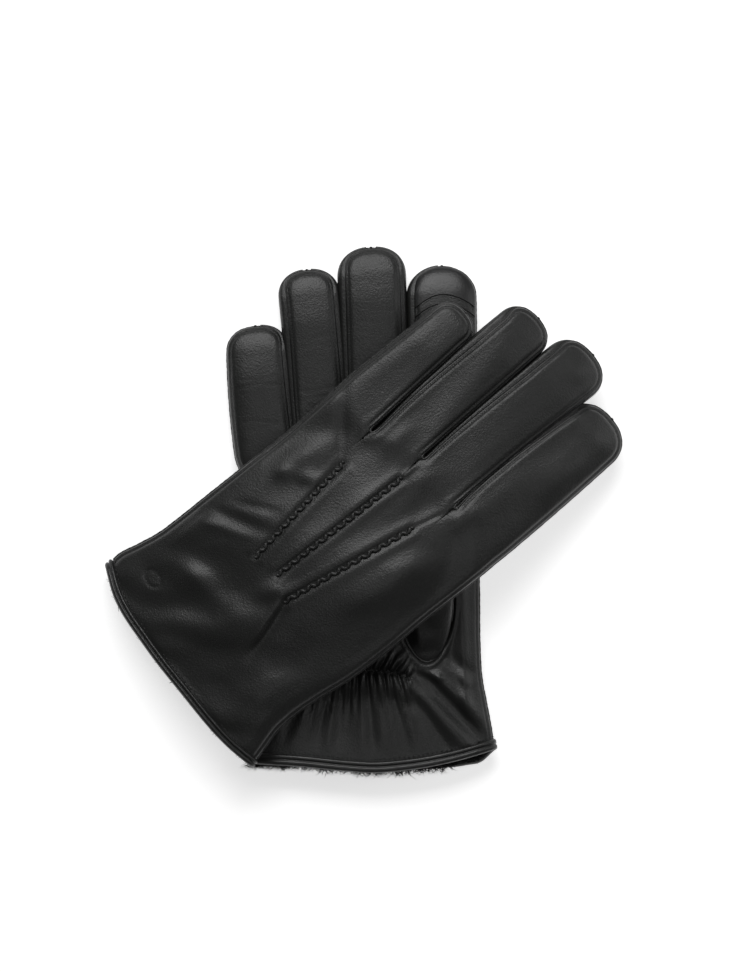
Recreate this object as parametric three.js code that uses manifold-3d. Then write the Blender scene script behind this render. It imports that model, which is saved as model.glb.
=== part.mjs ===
// A pair of gentlemen's lined leather dress gloves, lying crossed: the right glove flat with its palm up,
// the left glove across it with its back up. Millimetres, +Z up, origin under the middle of the pair.
//
// Each glove is drawn in its own glove frame: u runs across the hand towards the index side, v from the cuff
// to the fingertips, and w through the thickness, positive towards the palm. Both gloves share one cutting
// pattern.
// A glove is a nest of lofts: the leather, a pile lining inside it, and the space for the hand inside that.
// The leather is then cut along its seams into back, palm and forked fourchettes, and at the finger hinges.
import * as THREE from "three";
import Module from "manifold-3d";

const wasm = await Module();
wasm.setup();

// ---- Driving dimensions -----------------------------------------------------------------------------------
const GAP = 0.3; // clearance kept between neighbouring pieces
const LEATHER = 1.1; // leather thickness
const LINING_OUT = 2.2; // depth of the lining's outer face under the leather's surface
const LINING_IN = 3.9; // depth of the pile's inner face
const REST_W = 8.5; // from the glove's middle plane to the surface it rests on
const STACK_GAP = 0.9; // clearance between the two gloves
const SMOOTHING = 0.06; // facets flatter than this are merged

// Stations of the hand: distance from the cuff, its two edges, half thickness, middle and knuckle bow.
const HAND = [
  { v: -12, pinky: -58.0, index: 56.6, half: 7.9, mid: 0.5, bow: 0 },
  { v: 0, pinky: -58.6, index: 57.0, half: 7.9, mid: 0.5, bow: 0 },
  { v: 11, pinky: -59.2, index: 56.8, half: 7.9, mid: 0.5, bow: 0 },
  { v: 32, pinky: -57.2, index: 54.2, half: 7.8, mid: 0.5, bow: 0 },
  { v: 62, pinky: -56.8, index: 54.8, half: 7.9, mid: 0.6, bow: 0 },
  { v: 100, pinky: -57.6, index: 55.0, half: 7.9, mid: 0.6, bow: 0.15 },
  { v: 134, pinky: -58.6, index: 54.4, half: 7.8, mid: 0.4, bow: 0.65 },
  { v: 156, pinky: -57.4, index: 52.8, half: 7.0, mid: -0.2, bow: 1 },
];
const KNUCKLE_V = 156; // the crotch line at its highest, between ring and middle finger
const KNUCKLE_U = 2;
const KNUCKLE_BEND = 0.0104; // how fast the crotch line falls away to each side, per mm

// Fingers: the middle of the root and of the tip, half widths there, and where the left glove's finger folds.
const FINGERS = [
  { name: "pinky", root: [-45.5, 144], tip: [-49.5, 213.5], rootHalf: 13.0, tipHalf: 11.0, fold: 14 },
  { name: "ring", root: [-20.0, 150], tip: [-26.5, 240.0], rootHalf: 11.8, tipHalf: 10.6, fold: 17 },
  { name: "middle", root: [6.5, 154], tip: [2.5, 251.5], rootHalf: 13.9, tipHalf: 12.8, fold: 13 },
  { name: "index", root: [37.6, 150], tip: [34.0, 238.5], rootHalf: 15.9, tipHalf: 13.2, fold: 16 },
];
const FINGER_START = -34; // a finger's loft starts this far behind its root, inside the hand
const FINGER_HALF = 7.5; // half thickness of a finger
const FINGER_MID = -1; // fingers hang towards the back by this much
const FORK_HALF = 5; // half height of the fourchette strips between the fingers
const FORK_END = 9; // a fourchette stops this far before the fingertip
const FOLD_RISE = 0.25; // the fold line lies this far above the back of the finger
const PAD_LENGTH = 13.5; // the touch pad set into the index fingertip

// Back points: the three raised tucks on the back of the hand, from the wrist end to the knuckle end.
const POINTS = [
  { name: "pinky", from: [-19, 62], to: [-29, 124] },
  { name: "middle", from: [-6, 65], to: [-6.2, 141] },
  { name: "index", from: [6, 60], to: [16, 131] },
];
const POINT_WIDTH = 2.2;
const POINT_TOP = -7.65; // the tuck's foot, just clear of the back leather

const HEM_LENGTH = 5; // the cuff binding covers this much of the leather
const HEM_PROUD = 1; // and stands this proud of it
const ELASTIC = { pinky: -38, index: 9, v: 45, width: 8, top: 1.4, thick: 0.5 };

// Thumbs: set into the palm through an oval hole and folded flat over it.
const THUMB_ROOT = [27, 55];
const THUMB_HALF = [13.6, 11.6]; // half width at the root and at the tip
const THUMB_DEPTH = 9; // thickness where it lies free

// Where the left glove lies, in the right glove's frame, and how it drapes over it.
const LEFT_AT = [-92.9, 50.6];
const LEFT_TURN = THREE.MathUtils.degToRad(-52.3);
const DOME = { at: [2, 93], height: 11, spread: 45 }; // the thumbs between the gloves lift it
const DROOP = { middle: -1.5, half: 50, rate: 0.0245, power: 1.5 }; // its ends sink past the lower glove

// ---- The gloves' own frames -------------------------------------------------------------------------------
const lerp = THREE.MathUtils.lerp;

// Height of the left glove's underside over a place in the right glove's frame.
function leftUnderside(x, y) {
  const away = (x - DOME.at[0]) ** 2 + (y - DOME.at[1]) ** 2;
  const dome = DOME.height * Math.exp(-away / (2 * DOME.spread ** 2));
  const past = Math.max(0, Math.abs(x - DROOP.middle) - DROOP.half);
  return 2 * REST_W + STACK_GAP + dome - DROOP.rate * past ** DROOP.power;
}

// A place in the left glove's frame, seen in the right glove's.
function fromLeft(u, v) {
  const c = Math.cos(LEFT_TURN);
  const s = Math.sin(LEFT_TURN);
  return [LEFT_AT[0] + c * u - s * v, LEFT_AT[1] + s * u + c * v];
}

function leftMiddle(u, v) {
  return leftUnderside(...fromLeft(u, v)) + REST_W;
}

// side: its name; place: glove frame to the glove group's frame; mirrored: whether place turns it inside out;
// cuff: how far the cuff's edge runs past v = 0 at the pinky edge, in the middle and at the index edge.
const RIGHT = {
  side: "right",
  place: (u, v, w) => [u, v, w + REST_W],
  mirrored: false,
  cuff: [6, 3.5, 11],
  thumbTip: [18, 122],
  thumbLimit: (u, v) => leftUnderside(u, v) - STACK_GAP - REST_W,
  stations: [11, 32, 62, 100, 134, KNUCKLE_V],
  folds: false,
};
const LEFT = {
  side: "left",
  place: (u, v, w) => [u, v, leftMiddle(u, v) - w],
  mirrored: true,
  cuff: [4.7, -4.9, 0.6],
  thumbTip: [-10, 107],
  thumbLimit: (u, v) => leftMiddle(u, v) - 2 * REST_W - STACK_GAP,
  stations: [11, 32, 55, 78, 100, 117, 134, KNUCKLE_V],
  folds: true,
};

// ---- Closed solids from rings and grids -------------------------------------------------------------------
function solidFrom(points, triangles, mirrored) {
  const faces = mirrored ? triangles.map(([a, b, c]) => [a, c, b]) : triangles;
  const mesh = new wasm.Mesh({
    numProp: 3,
    vertProperties: new Float32Array(points.flat()),
    triVerts: new Uint32Array(faces.flat()),
  });
  return new wasm.Manifold(mesh);
}

// Rings of [u, v, w] points, each running from the index side over the top and back underneath. Both ends are
// closed by a wall that spans from each top point to the point straight below it.
function loft(glove, rings) {
  const count = rings[0].length;
  const points = rings.flat();
  const triangles = [];
  for (let r = 0; r + 1 < rings.length; r++) {
    for (let i = 0; i < count; i++) {
      const a = r * count + i;
      const b = r * count + ((i + 1) % count);
      triangles.push([a, b + count, b], [a, a + count, b + count]);
    }
  }
  const end = (rings.length - 1) * count;
  for (let i = 0; i + 1 < count / 2; i++) {
    const [a, b, c, d] = [i, i + 1, count - 2 - i, count - 1 - i];
    triangles.push([a, b, c], [a, c, d], [end + a, end + c, end + b], [end + a, end + d, end + c]);
  }
  return solidFrom(points.map((p) => glove.place(...p)), triangles, glove.mirrored);
}

// A block over a plan grid: plan(x, y) gives [u, v], and the block runs from w = low to w = high.
function block(glove, { plan, x, y, low, high, cells = [8, 8] }) {
  const [nx, ny] = cells;
  const points = [];
  for (const w of [low, high]) {
    for (let j = 0; j <= ny; j++) {
      for (let i = 0; i <= nx; i++) {
        const [u, v] = plan(lerp(x[0], x[1], i / nx), lerp(y[0], y[1], j / ny));
        points.push([u, v, w]);
      }
    }
  }
  const layer = (nx + 1) * (ny + 1);
  const at = (i, j, top) => j * (nx + 1) + i + (top ? layer : 0);
  const triangles = [];
  const quad = (a, b, c, d) => triangles.push([a, b, c], [a, c, d]);
  for (let j = 0; j < ny; j++) {
    for (let i = 0; i < nx; i++) {
      quad(at(i, j, true), at(i + 1, j, true), at(i + 1, j + 1, true), at(i, j + 1, true));
      quad(at(i, j, false), at(i, j + 1, false), at(i + 1, j + 1, false), at(i + 1, j, false));
    }
  }
  for (let i = 0; i < nx; i++) {
    quad(at(i, 0, false), at(i + 1, 0, false), at(i + 1, 0, true), at(i, 0, true));
    quad(at(i + 1, ny, false), at(i, ny, false), at(i, ny, true), at(i + 1, ny, true));
  }
  for (let j = 0; j < ny; j++) {
    quad(at(0, j + 1, false), at(0, j, false), at(0, j, true), at(0, j + 1, true));
    quad(at(nx, j, false), at(nx, j + 1, false), at(nx, j + 1, true), at(nx, j, true));
  }
  return solidFrom(points.map((p) => glove.place(...p)), triangles, glove.mirrored);
}

const union = (solids) => solids.reduce((whole, next) => whole.add(next));

// The largest piece of a cut solid, without the crumbs a seam can leave beside it.
const largest = (solid) =>
  solid.decompose().reduce((best, next) => (next.volume() > best.volume() ? next : best));

// ---- Cross-sections ---------------------------------------------------------------------------------------
// A flattened round section as [across, up] pairs, each within -1 to 1, with flat facets at top, bottom and
// sides.
function section(count, acrossPower, upPower) {
  const power = (x, p) => Math.sign(x) * Math.abs(x) ** (2 / p);
  const highest = power(Math.cos(Math.PI / count), upPower);
  return Array.from({ length: count }, (_, i) => {
    const angle = ((i + 0.5) * 2 * Math.PI) / count;
    return [power(Math.cos(angle), acrossPower), power(Math.sin(angle), upPower) / highest];
  });
}
const HAND_EDGE = [[1, 0.25], [0.9, 0.62], [0.66, 0.9], [0.25, 1]];
const HAND_TOP = [...HAND_EDGE, ...HAND_EDGE.map(([across, up]) => [-across, up]).reverse()];
const HAND_SECTION = [...HAND_TOP, ...HAND_TOP.map(([across, up]) => [across, -up]).reverse()];
const FINGER_SECTION = section(8, 3, 3);
const THUMB_SECTION = section(8, 3, 3);

// ---- The hand ---------------------------------------------------------------------------------------------
function handAt(v) {
  const next = Math.max(1, HAND.findIndex((h) => h.v >= v));
  const [a, b] = [HAND[next - 1], HAND[next]];
  const t = (v - a.v) / (b.v - a.v);
  return Object.fromEntries(Object.keys(a).map((key) => [key, lerp(a[key], b[key], t)]));
}

// How far the cuff's own curve moves a station, fading out by 30 mm from the cuff.
function cuffShift(glove, u, v) {
  const [pinky, middle, index] = glove.cuff;
  const edge = u < 0 ? pinky : index;
  const fade = THREE.MathUtils.clamp(1 - Math.max(v, 0) / 30, 0, 1);
  return fade * lerp(middle, edge, (u / 58) ** 2);
}

function handRing(glove, v, inset, endInset) {
  const h = handAt(v);
  const centre = (h.pinky + h.index) / 2;
  const half = (h.index - h.pinky) / 2 - inset;
  return HAND_SECTION.map(([across, up]) => {
    const u = centre + half * across;
    const bow = h.bow * (-KNUCKLE_BEND * (u - KNUCKLE_U) ** 2 - endInset);
    return [u, v + bow + cuffShift(glove, u, v), h.mid + Math.max(0.6, h.half - inset) * up];
  });
}

// The hand's form, a given distance inside the leather's surface, through the stations vs.
function handForm(glove, inset, vs) {
  return loft(glove, vs.map((v) => handRing(glove, v, inset, inset)));
}

// ---- The fingers ------------------------------------------------------------------------------------------
function fingerFrame(finger) {
  const root = new THREE.Vector2(...finger.root);
  const axis = new THREE.Vector2(...finger.tip).sub(root);
  const length = axis.length();
  axis.normalize();
  const plan = (q, s) => [root.x + axis.y * q + axis.x * s, root.y - axis.x * q + axis.y * s];
  return { length, axis, plan };
}

function fingerForm(glove, finger, inset) {
  const { length, plan } = fingerFrame(finger);
  const straight = length - finger.tipHalf;
  const stations = [
    { s: FINGER_START, a: finger.rootHalf - 1.6, half: 6.2, mid: 0 },
    { s: 2, a: finger.rootHalf, half: 7.2, mid: -0.6 },
    { s: 15, a: lerp(finger.rootHalf, finger.tipHalf, 15 / straight), half: FINGER_HALF, mid: FINGER_MID },
    { s: straight, a: finger.tipHalf, half: FINGER_HALF - 0.4, mid: FINGER_MID },
  ];
  for (const turn of [42, 75]) {
    const angle = THREE.MathUtils.degToRad(turn);
    const half = (FINGER_HALF - 0.4) * Math.cos(angle) ** 0.55;
    const s = straight + finger.tipHalf * Math.sin(angle);
    stations.push({ s, a: finger.tipHalf * Math.cos(angle), half, mid: FINGER_MID });
  }
  const rings = stations.map(({ s, a, half, mid }) => {
    const along = Math.min(s, length - inset * 1.4 - (length - s) * 0.3);
    return FINGER_SECTION.map(([across, up]) => {
      const [u, v] = plan(Math.max(0.8, a - inset) * across, s > straight ? along : s);
      return [u, v, mid + Math.max(0.8, half - inset) * up];
    });
  });
  return loft(glove, rings);
}

// A block in a finger's own plan frame: q across it, s from its root towards the tip.
function fingerBlock(glove, finger, q, s, low, high) {
  const cells = glove.folds ? [2, 9] : [1, 1];
  return block(glove, { plan: fingerFrame(finger).plan, x: q, y: s, low, high, cells });
}

// The whole glove's form, hand and fingers, a given distance inside the leather's surface.
function gloveForm(glove, inset, firstV) {
  const hand = handForm(glove, inset, [firstV, ...glove.stations]);
  return union([hand, ...FINGERS.map((finger) => fingerForm(glove, finger, inset))]);
}

// ---- The thumb --------------------------------------------------------------------------------------------
function thumbForm(glove, inset) {
  const root = new THREE.Vector2(...THUMB_ROOT);
  const axis = new THREE.Vector2(...glove.thumbTip).sub(root);
  const length = axis.length();
  axis.normalize();
  const surface = REST_W + GAP + 0.1;
  const straight = length - THUMB_HALF[1];
  const stations = [
    { s: 0, a: THUMB_HALF[0] - 1.5, low: -2.2, high: 4.2 },
    { s: 8, a: THUMB_HALF[0], low: 0.5, high: 9.5 },
    { s: 22, a: THUMB_HALF[0], low: 6, high: surface + THUMB_DEPTH - 1 },
    { s: 32, a: THUMB_HALF[0] - 0.5, low: surface, high: surface + THUMB_DEPTH },
    { s: straight, a: THUMB_HALF[1], low: surface, high: surface + THUMB_DEPTH },
  ];
  for (const turn of [42, 75]) {
    const angle = THREE.MathUtils.degToRad(turn);
    const shrink = (1 - Math.cos(angle) ** 0.6) * 3.4;
    const high = surface + THUMB_DEPTH - shrink;
    const s = straight + THUMB_HALF[1] * Math.sin(angle);
    stations.push({ s, a: THUMB_HALF[1] * Math.cos(angle), low: surface + shrink, high });
  }
  const rings = stations.map(({ s, a, low, high }) => {
    const inside = Math.max(inset, 0);
    const along = s > straight ? s - inside * 0.9 : s;
    return THUMB_SECTION.map(([across, up]) => {
      const q = Math.max(0.8, a - inset) * across;
      const u = root.x + axis.y * q + axis.x * along;
      const v = root.y - axis.x * q + axis.y * along;
      const top = Math.min(high, glove.thumbLimit(u, v));
      const half = Math.max(0.35, (top - low) / 2 - inset);
      return [u, v, (top + low) / 2 + half * up];
    });
  });
  return loft(glove, rings);
}

// The same tube, open at its root: the inner form starts behind the outer one.
function thumbSleeve(glove, outer, inner) {
  const plan = (x, y) => [THUMB_ROOT[0] + x, THUMB_ROOT[1] + y];
  const behind = block(glove, { plan, x: [-30, 30], y: [-20, 1.5], low: -8, high: 12, cells: [2, 2] });
  return thumbForm(glove, outer).subtract(thumbForm(glove, inner)).subtract(behind);
}

// ---- One glove --------------------------------------------------------------------------------------------
const LEATHER_LOOK = { color: 0x17181a, roughness: 0.46, metalness: 0 };
const PILE_LOOK = { color: 0x0c0c0d, roughness: 0.95, metalness: 0 };
const THREAD_LOOK = { color: 0x101012, roughness: 0.6, metalness: 0 };
const ELASTIC_LOOK = { color: 0x1d1d1f, roughness: 0.8, metalness: 0 };

function meshOf(name, solid, look, pivot = new THREE.Vector3()) {
  const { vertProperties, triVerts, numProp } = largest(solid.simplify(SMOOTHING)).getMesh();
  const geometry = new THREE.BufferGeometry();
  const count = vertProperties.length / numProp;
  const position = new Float32Array(count * 3);
  for (let i = 0; i < count; i++) {
    position.set(vertProperties.subarray(i * numProp, i * numProp + 3), i * 3);
  }
  geometry.setAttribute("position", new THREE.BufferAttribute(position, 3));
  geometry.setIndex(new THREE.BufferAttribute(triVerts, 1));
  geometry.translate(-pivot.x, -pivot.y, -pivot.z);
  const mesh = new THREE.Mesh(geometry, new THREE.MeshStandardMaterial(look));
  mesh.name = name;
  return mesh;
}

function buildGlove(glove) {
  const { side } = glove;
  const group = new THREE.Group();
  group.name = `${side}_glove`;
  const cells = glove.folds ? [12, 20] : [1, 1];
  const everywhere = { plan: (x, y) => [x, y], x: [-80, 80], y: [-20, 262], cells };
  const palmSide = block(glove, { ...everywhere, low: GAP / 2, high: 30 });
  const backSide = block(glove, { ...everywhere, low: -30, high: -GAP / 2 });

  // The leather's skin, with an oval hole where the thumb is set in.
  const skin = gloveForm(glove, 0, 0).subtract(gloveForm(glove, LEATHER, -12));
  const thumbHole = thumbForm(glove, -GAP);

  // Fourchette strips line the sides of the fingers that face each other, and meet in a fork at each crotch.
  const stripZone = (finger, sign, grow) => {
    const reach = sign * (finger.rootHalf + 0.7);
    const across = sign > 0 ? [0, reach] : [reach, 0];
    const end = fingerFrame(finger).length - FORK_END + grow;
    const half = FORK_HALF + grow;
    return fingerBlock(glove, finger, across, [-4 - grow, end], FINGER_MID - half, FINGER_MID + half);
  };
  const crotchZone = (finger, next, grow) => {
    const u = (finger.root[0] + finger.rootHalf + next.root[0] - next.rootHalf) / 2;
    const v = KNUCKLE_V - KNUCKLE_BEND * (u - KNUCKLE_U) ** 2;
    const half = FORK_HALF + grow;
    const plan = (x, y) => [u + x, v + y];
    const [low, high] = [FINGER_MID - half, FINGER_MID + half];
    return block(glove, { plan, x: [-3 - grow, 3 + grow], y: [-4 - grow, 8], low, high, cells: [1, 1] });
  };
  const forkZones = FINGERS.slice(0, -1).map((finger, i) => (grow) => {
    const next = FINGERS[i + 1];
    return union([stripZone(finger, 1, grow), stripZone(next, -1, grow), crotchZone(finger, next, grow)]);
  });
  const allForks = union(forkZones.map((zone) => zone(GAP / 2)));

  // The part of a finger past its fold.
  const pastFold = (finger, grow) => {
    const reach = finger.rootHalf + 0.6;
    const end = fingerFrame(finger).length + 4;
    return fingerBlock(glove, finger, [-reach, reach], [finger.fold - grow, end], -20, 20);
  };
  const folded = glove.folds ? union(FINGERS.map((finger) => pastFold(finger, GAP / 2))) : null;
  const handPart = (solid) => (folded ? solid.subtract(folded) : solid);

  // The touch pad is the palm side of the index fingertip, sewn on along a curved seam.
  const index = FINGERS[3];
  const padZone = (grow) => {
    const { length, plan } = fingerFrame(index);
    const curved = (q, s) => plan(q, s - 5 * (q / index.tipHalf) ** 2);
    const reach = index.tipHalf + 2;
    const y = [length - PAD_LENGTH - grow, length + 9];
    return block(glove, { plan: curved, x: [-reach, reach], y, low: -GAP / 2, high: 20, cells: [6, 2] });
  };

  const backLeather = skin.intersect(backSide).subtract(allForks);
  const palmLeather = skin.intersect(palmSide).subtract(allForks).subtract(thumbHole).subtract(padZone(GAP));
  const padLeather = skin.intersect(palmSide).subtract(allForks).intersect(padZone(0));
  const lining = gloveForm(glove, LINING_OUT, 0.4)
    .subtract(gloveForm(glove, LINING_IN, -12))
    .subtract(thumbHole);

  const add = (name, solid, look, parent = group, pivot) =>
    parent.add(meshOf(`${side}_${name}`, solid, look, pivot));
  add("back_leather", handPart(backLeather), LEATHER_LOOK);
  add("palm_leather", handPart(palmLeather), LEATHER_LOOK);
  add("hand_lining", handPart(lining), PILE_LOOK);
  FINGERS.slice(0, -1).forEach((finger, i) => {
    const fork = handPart(skin.intersect(forkZones[i](-GAP / 2)));
    add(`fourchette_${finger.name}_${FINGERS[i + 1].name}`, fork, LEATHER_LOOK);
  });

  add("thumb_leather", thumbSleeve(glove, 0, LEATHER), LEATHER_LOOK);
  add("thumb_lining", thumbSleeve(glove, LEATHER + GAP, LEATHER + GAP + 1.2), PILE_LOOK);

  const hem = handForm(glove, -HEM_PROUD, [-3, 0, HEM_LENGTH])
    .subtract(handForm(glove, -GAP, [-GAP, HEM_LENGTH + 3]))
    .subtract(handForm(glove, LINING_IN, [-12, HEM_LENGTH + 3]));
  add("cuff_binding", hem, LEATHER_LOOK);

  const elasticForm = (inset) => handForm(glove, inset, [32, 62, 100]);
  const along = [ELASTIC.v, ELASTIC.v + ELASTIC.width];
  const band = { plan: (x, y) => [x, y], x: [ELASTIC.pinky, ELASTIC.index], y: along };
  const elastic = elasticForm(ELASTIC.top)
    .subtract(elasticForm(ELASTIC.top + ELASTIC.thick))
    .intersect(block(glove, { ...band, low: 3, high: 20, cells: [6, 2] }));
  add("wrist_elastic", elastic, ELASTIC_LOOK);

  for (const { name, from, to } of POINTS) {
    const plan = (x, y) => [lerp(from[0], to[0], y) + x, lerp(from[1], to[1], y)];
    const half = POINT_WIDTH / 2;
    const cells = [1, 7];
    const point = block(glove, { plan, x: [-half, half], y: [0, 1], low: -REST_W, high: POINT_TOP, cells });
    add(`back_point_${name}`, point, THREAD_LOOK);
  }

  if (!glove.folds) {
    add("index_touch_pad", padLeather, LEATHER_LOOK);
    return group;
  }

  // The left glove's fingers fold up about a line across the back of each finger.
  FINGERS.forEach((finger, i) => {
    const { plan } = fingerFrame(finger);
    const [pinkyEnd, indexEnd] = [-1, 1].map((sign) =>
      new THREE.Vector3(...glove.place(...plan(sign * finger.rootHalf * 0.7, finger.fold), -REST_W)));
    const hinge = new THREE.Group();
    hinge.name = `${side}_${finger.name}_fold`;
    hinge.position.lerpVectors(pinkyEnd, indexEnd, 0.5);
    hinge.position.z += FOLD_RISE;
    hinge.userData.axis = indexEnd.sub(pinkyEnd).normalize().toArray();
    group.add(hinge);
    const own = pastFold(finger, -GAP / 2);
    const addHere = (name, solid, look) =>
      add(`${finger.name}_finger_${name}`, solid.intersect(own), look, hinge, hinge.position);
    addHere("back", backLeather, LEATHER_LOOK);
    addHere("palm", palmLeather, LEATHER_LOOK);
    addHere("lining", lining, PILE_LOOK);
    if (i > 0) addHere("pinky_side_strip", skin.intersect(stripZone(finger, -1, -GAP / 2)), LEATHER_LOOK);
    if (i < 3) addHere("index_side_strip", skin.intersect(stripZone(finger, 1, -GAP / 2)), LEATHER_LOOK);
    if (i === 3) add("index_touch_pad", padLeather, LEATHER_LOOK, hinge, hinge.position);
  });
  return group;
}

// ---- The pair ---------------------------------------------------------------------------------------------
const rightGlove = buildGlove(RIGHT);
const leftGlove = buildGlove(LEFT);
leftGlove.position.set(LEFT_AT[0], LEFT_AT[1], 0);
leftGlove.rotation.z = LEFT_TURN;

const laid = new THREE.Group();
laid.add(rightGlove, leftGlove);
const extent = new THREE.Box3().setFromObject(laid, true);
const middle = extent.getCenter(new THREE.Vector3());
laid.position.set(-middle.x, -middle.y, -extent.min.z);

const pair = new THREE.Group();
pair.name = "glove_pair";
pair.add(laid);

export default pair;
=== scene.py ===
"""A pair of lined leather dress gloves, lying crossed: the right glove flat with its palm up, the left glove over
it with its back up. Every leather panel, seam, stitch and tuft of pile is a mesh worked out from the cutting
pattern, in millimetres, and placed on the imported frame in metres.

Each glove is drawn in its own frame: u across the hand towards the index side, v from the cuff to the
fingertips, w through the thickness, positive towards the palm. A panel is a grid over the hand that splits at the
crotch row into one grid for each finger.
"""
import math

import bpy
import numpy as np
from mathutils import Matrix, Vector, bvhtree, kdtree


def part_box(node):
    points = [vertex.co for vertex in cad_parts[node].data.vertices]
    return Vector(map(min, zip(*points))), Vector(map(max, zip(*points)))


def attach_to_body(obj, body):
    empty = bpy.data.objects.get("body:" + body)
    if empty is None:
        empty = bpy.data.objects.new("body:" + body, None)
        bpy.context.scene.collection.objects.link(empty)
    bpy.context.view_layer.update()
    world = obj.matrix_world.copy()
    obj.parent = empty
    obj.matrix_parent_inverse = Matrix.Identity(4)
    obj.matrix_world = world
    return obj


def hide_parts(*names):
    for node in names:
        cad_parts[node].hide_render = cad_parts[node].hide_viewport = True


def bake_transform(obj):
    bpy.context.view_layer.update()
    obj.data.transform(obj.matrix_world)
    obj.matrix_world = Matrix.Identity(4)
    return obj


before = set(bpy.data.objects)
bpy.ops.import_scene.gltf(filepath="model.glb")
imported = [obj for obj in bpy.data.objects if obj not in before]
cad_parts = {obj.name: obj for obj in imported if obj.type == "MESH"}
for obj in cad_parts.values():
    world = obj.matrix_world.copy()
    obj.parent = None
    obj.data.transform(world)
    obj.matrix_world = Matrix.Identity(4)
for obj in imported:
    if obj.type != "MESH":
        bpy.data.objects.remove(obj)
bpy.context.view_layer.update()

# ---- Driving dimensions, as in the part ----------------------------------------------------------------------
MM = 0.001
REST_W = 8.5  # from a glove's middle plane to the surface it rests on
STACK_GAP = 0.9  # clearance between the gloves
LEATHER = 0.9
LEFT_AT = np.array([-92.9, 50.6])  # the left glove's frame in the right glove's
LEFT_TURN = math.radians(-52.3)
DOME = {"at": (2, 93), "height": 11, "spread": 45}  # the thumbs between the gloves lift the upper one
DROOP = {"middle": -1.5, "half": 50, "rate": 0.0245, "power": 1.5}  # and its ends sink past the lower one

KNUCKLE_V, KNUCKLE_U, KNUCKLE_BEND = 156, 2, 0.0104  # the crotch line's top, and how fast it falls to the sides
TIP_ROUND, TIP_BLUNT = 0.88, 2.4  # a fingertip's rounding, as a share of its half width, and how blunt it is
FINGER_NAMES = ("pinky", "ring", "middle", "index")
HAND_V = [-9, 3, 10, 20, 32, 45, 62, 85, 110, 135, 152, 168]  # stations along the hand's edges
HAND_MID, HAND_HALF = 0.5, 7.9  # the middle plane of the hand, and half its thickness
FINGER_MID, FINGER_HALF = -1.0, 7.5
HAND_BLUNT = 4.2  # how squarely the hand's section falls away to its sides
SEAM_HALF = 0.2  # half the gap between the panels' edges

# How finely the panels are cut into faces: across a finger, on the side that is up and the side that is down.
ACROSS_UP, ACROSS_DOWN = 40, 26
HAND_ROWS = 150
FINGER_ROWS = 84
TIP_ROWS = 16


def smooth(x, lo=0.0, hi=1.0):
    """A smooth step from 0 at lo to 1 at hi."""
    t = np.clip((np.asarray(x, float) - lo) / (hi - lo), 0, 1)
    return t * t * (3 - 2 * t)


def through(x, xs, ys):
    """A smooth curve through the points (xs, ys), read at x."""
    xs, ys = np.asarray(xs, float), np.asarray(ys, float)
    slope = np.gradient(ys, xs)
    x = np.clip(x, xs[0], xs[-1])
    i = np.clip(np.searchsorted(xs, x) - 1, 0, len(xs) - 2)
    h = xs[i + 1] - xs[i]
    t = (x - xs[i]) / h
    return ((2 * t**3 - 3 * t**2 + 1) * ys[i] + (t**3 - 2 * t**2 + t) * h * slope[i]
            + (3 * t**2 - 2 * t**3) * ys[i + 1] + (t**3 - t**2) * h * slope[i + 1])


def bump_at(u, v, centre, size, turn=0.0):
    """A soft mound of height 1 at centre, size[0] long towards turn degrees from +u and size[1] wide."""
    c, s = math.cos(math.radians(turn)), math.sin(math.radians(turn))
    du, dv = u - centre[0], v - centre[1]
    along, aside = c * du + s * dv, c * dv - s * du
    return np.exp(-0.5 * ((along / size[0]) ** 2 + (aside / size[1]) ** 2))


def beside(u, v, start, end):
    """How far along a straight line (u, v) lies, from 0 at start to 1 at end, and how far to its right, in mm."""
    a, b = np.array(start, float), np.array(end, float)
    d = b - a
    t = ((u - a[0]) * d[0] + (v - a[1]) * d[1]) / (d @ d)
    return t, ((u - a[0]) * d[1] - (v - a[1]) * d[0]) / math.hypot(*d)


def ripples(u, v, seed, wavelength, count=7):
    """Smooth random waves of about one wavelength, between about -1 and 1."""
    rng = np.random.default_rng(seed)
    total = np.zeros_like(u, dtype=float)
    for _ in range(count):
        angle, phase = rng.uniform(0, 2 * math.pi, 2)
        k = 2 * math.pi / (wavelength * rng.uniform(0.75, 1.4))
        total += np.sin(k * (u * math.cos(angle) + v * math.sin(angle)) + phase)
    return total / math.sqrt(count) / 1.2


def hand_height(x):
    """The leather's height off the hand's middle plane, at x across the hand from -1 to 1."""
    return SEAM_HALF + (HAND_HALF - SEAM_HALF) * np.clip(1 - np.abs(x) ** HAND_BLUNT, 0, 1) ** 0.5


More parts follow.
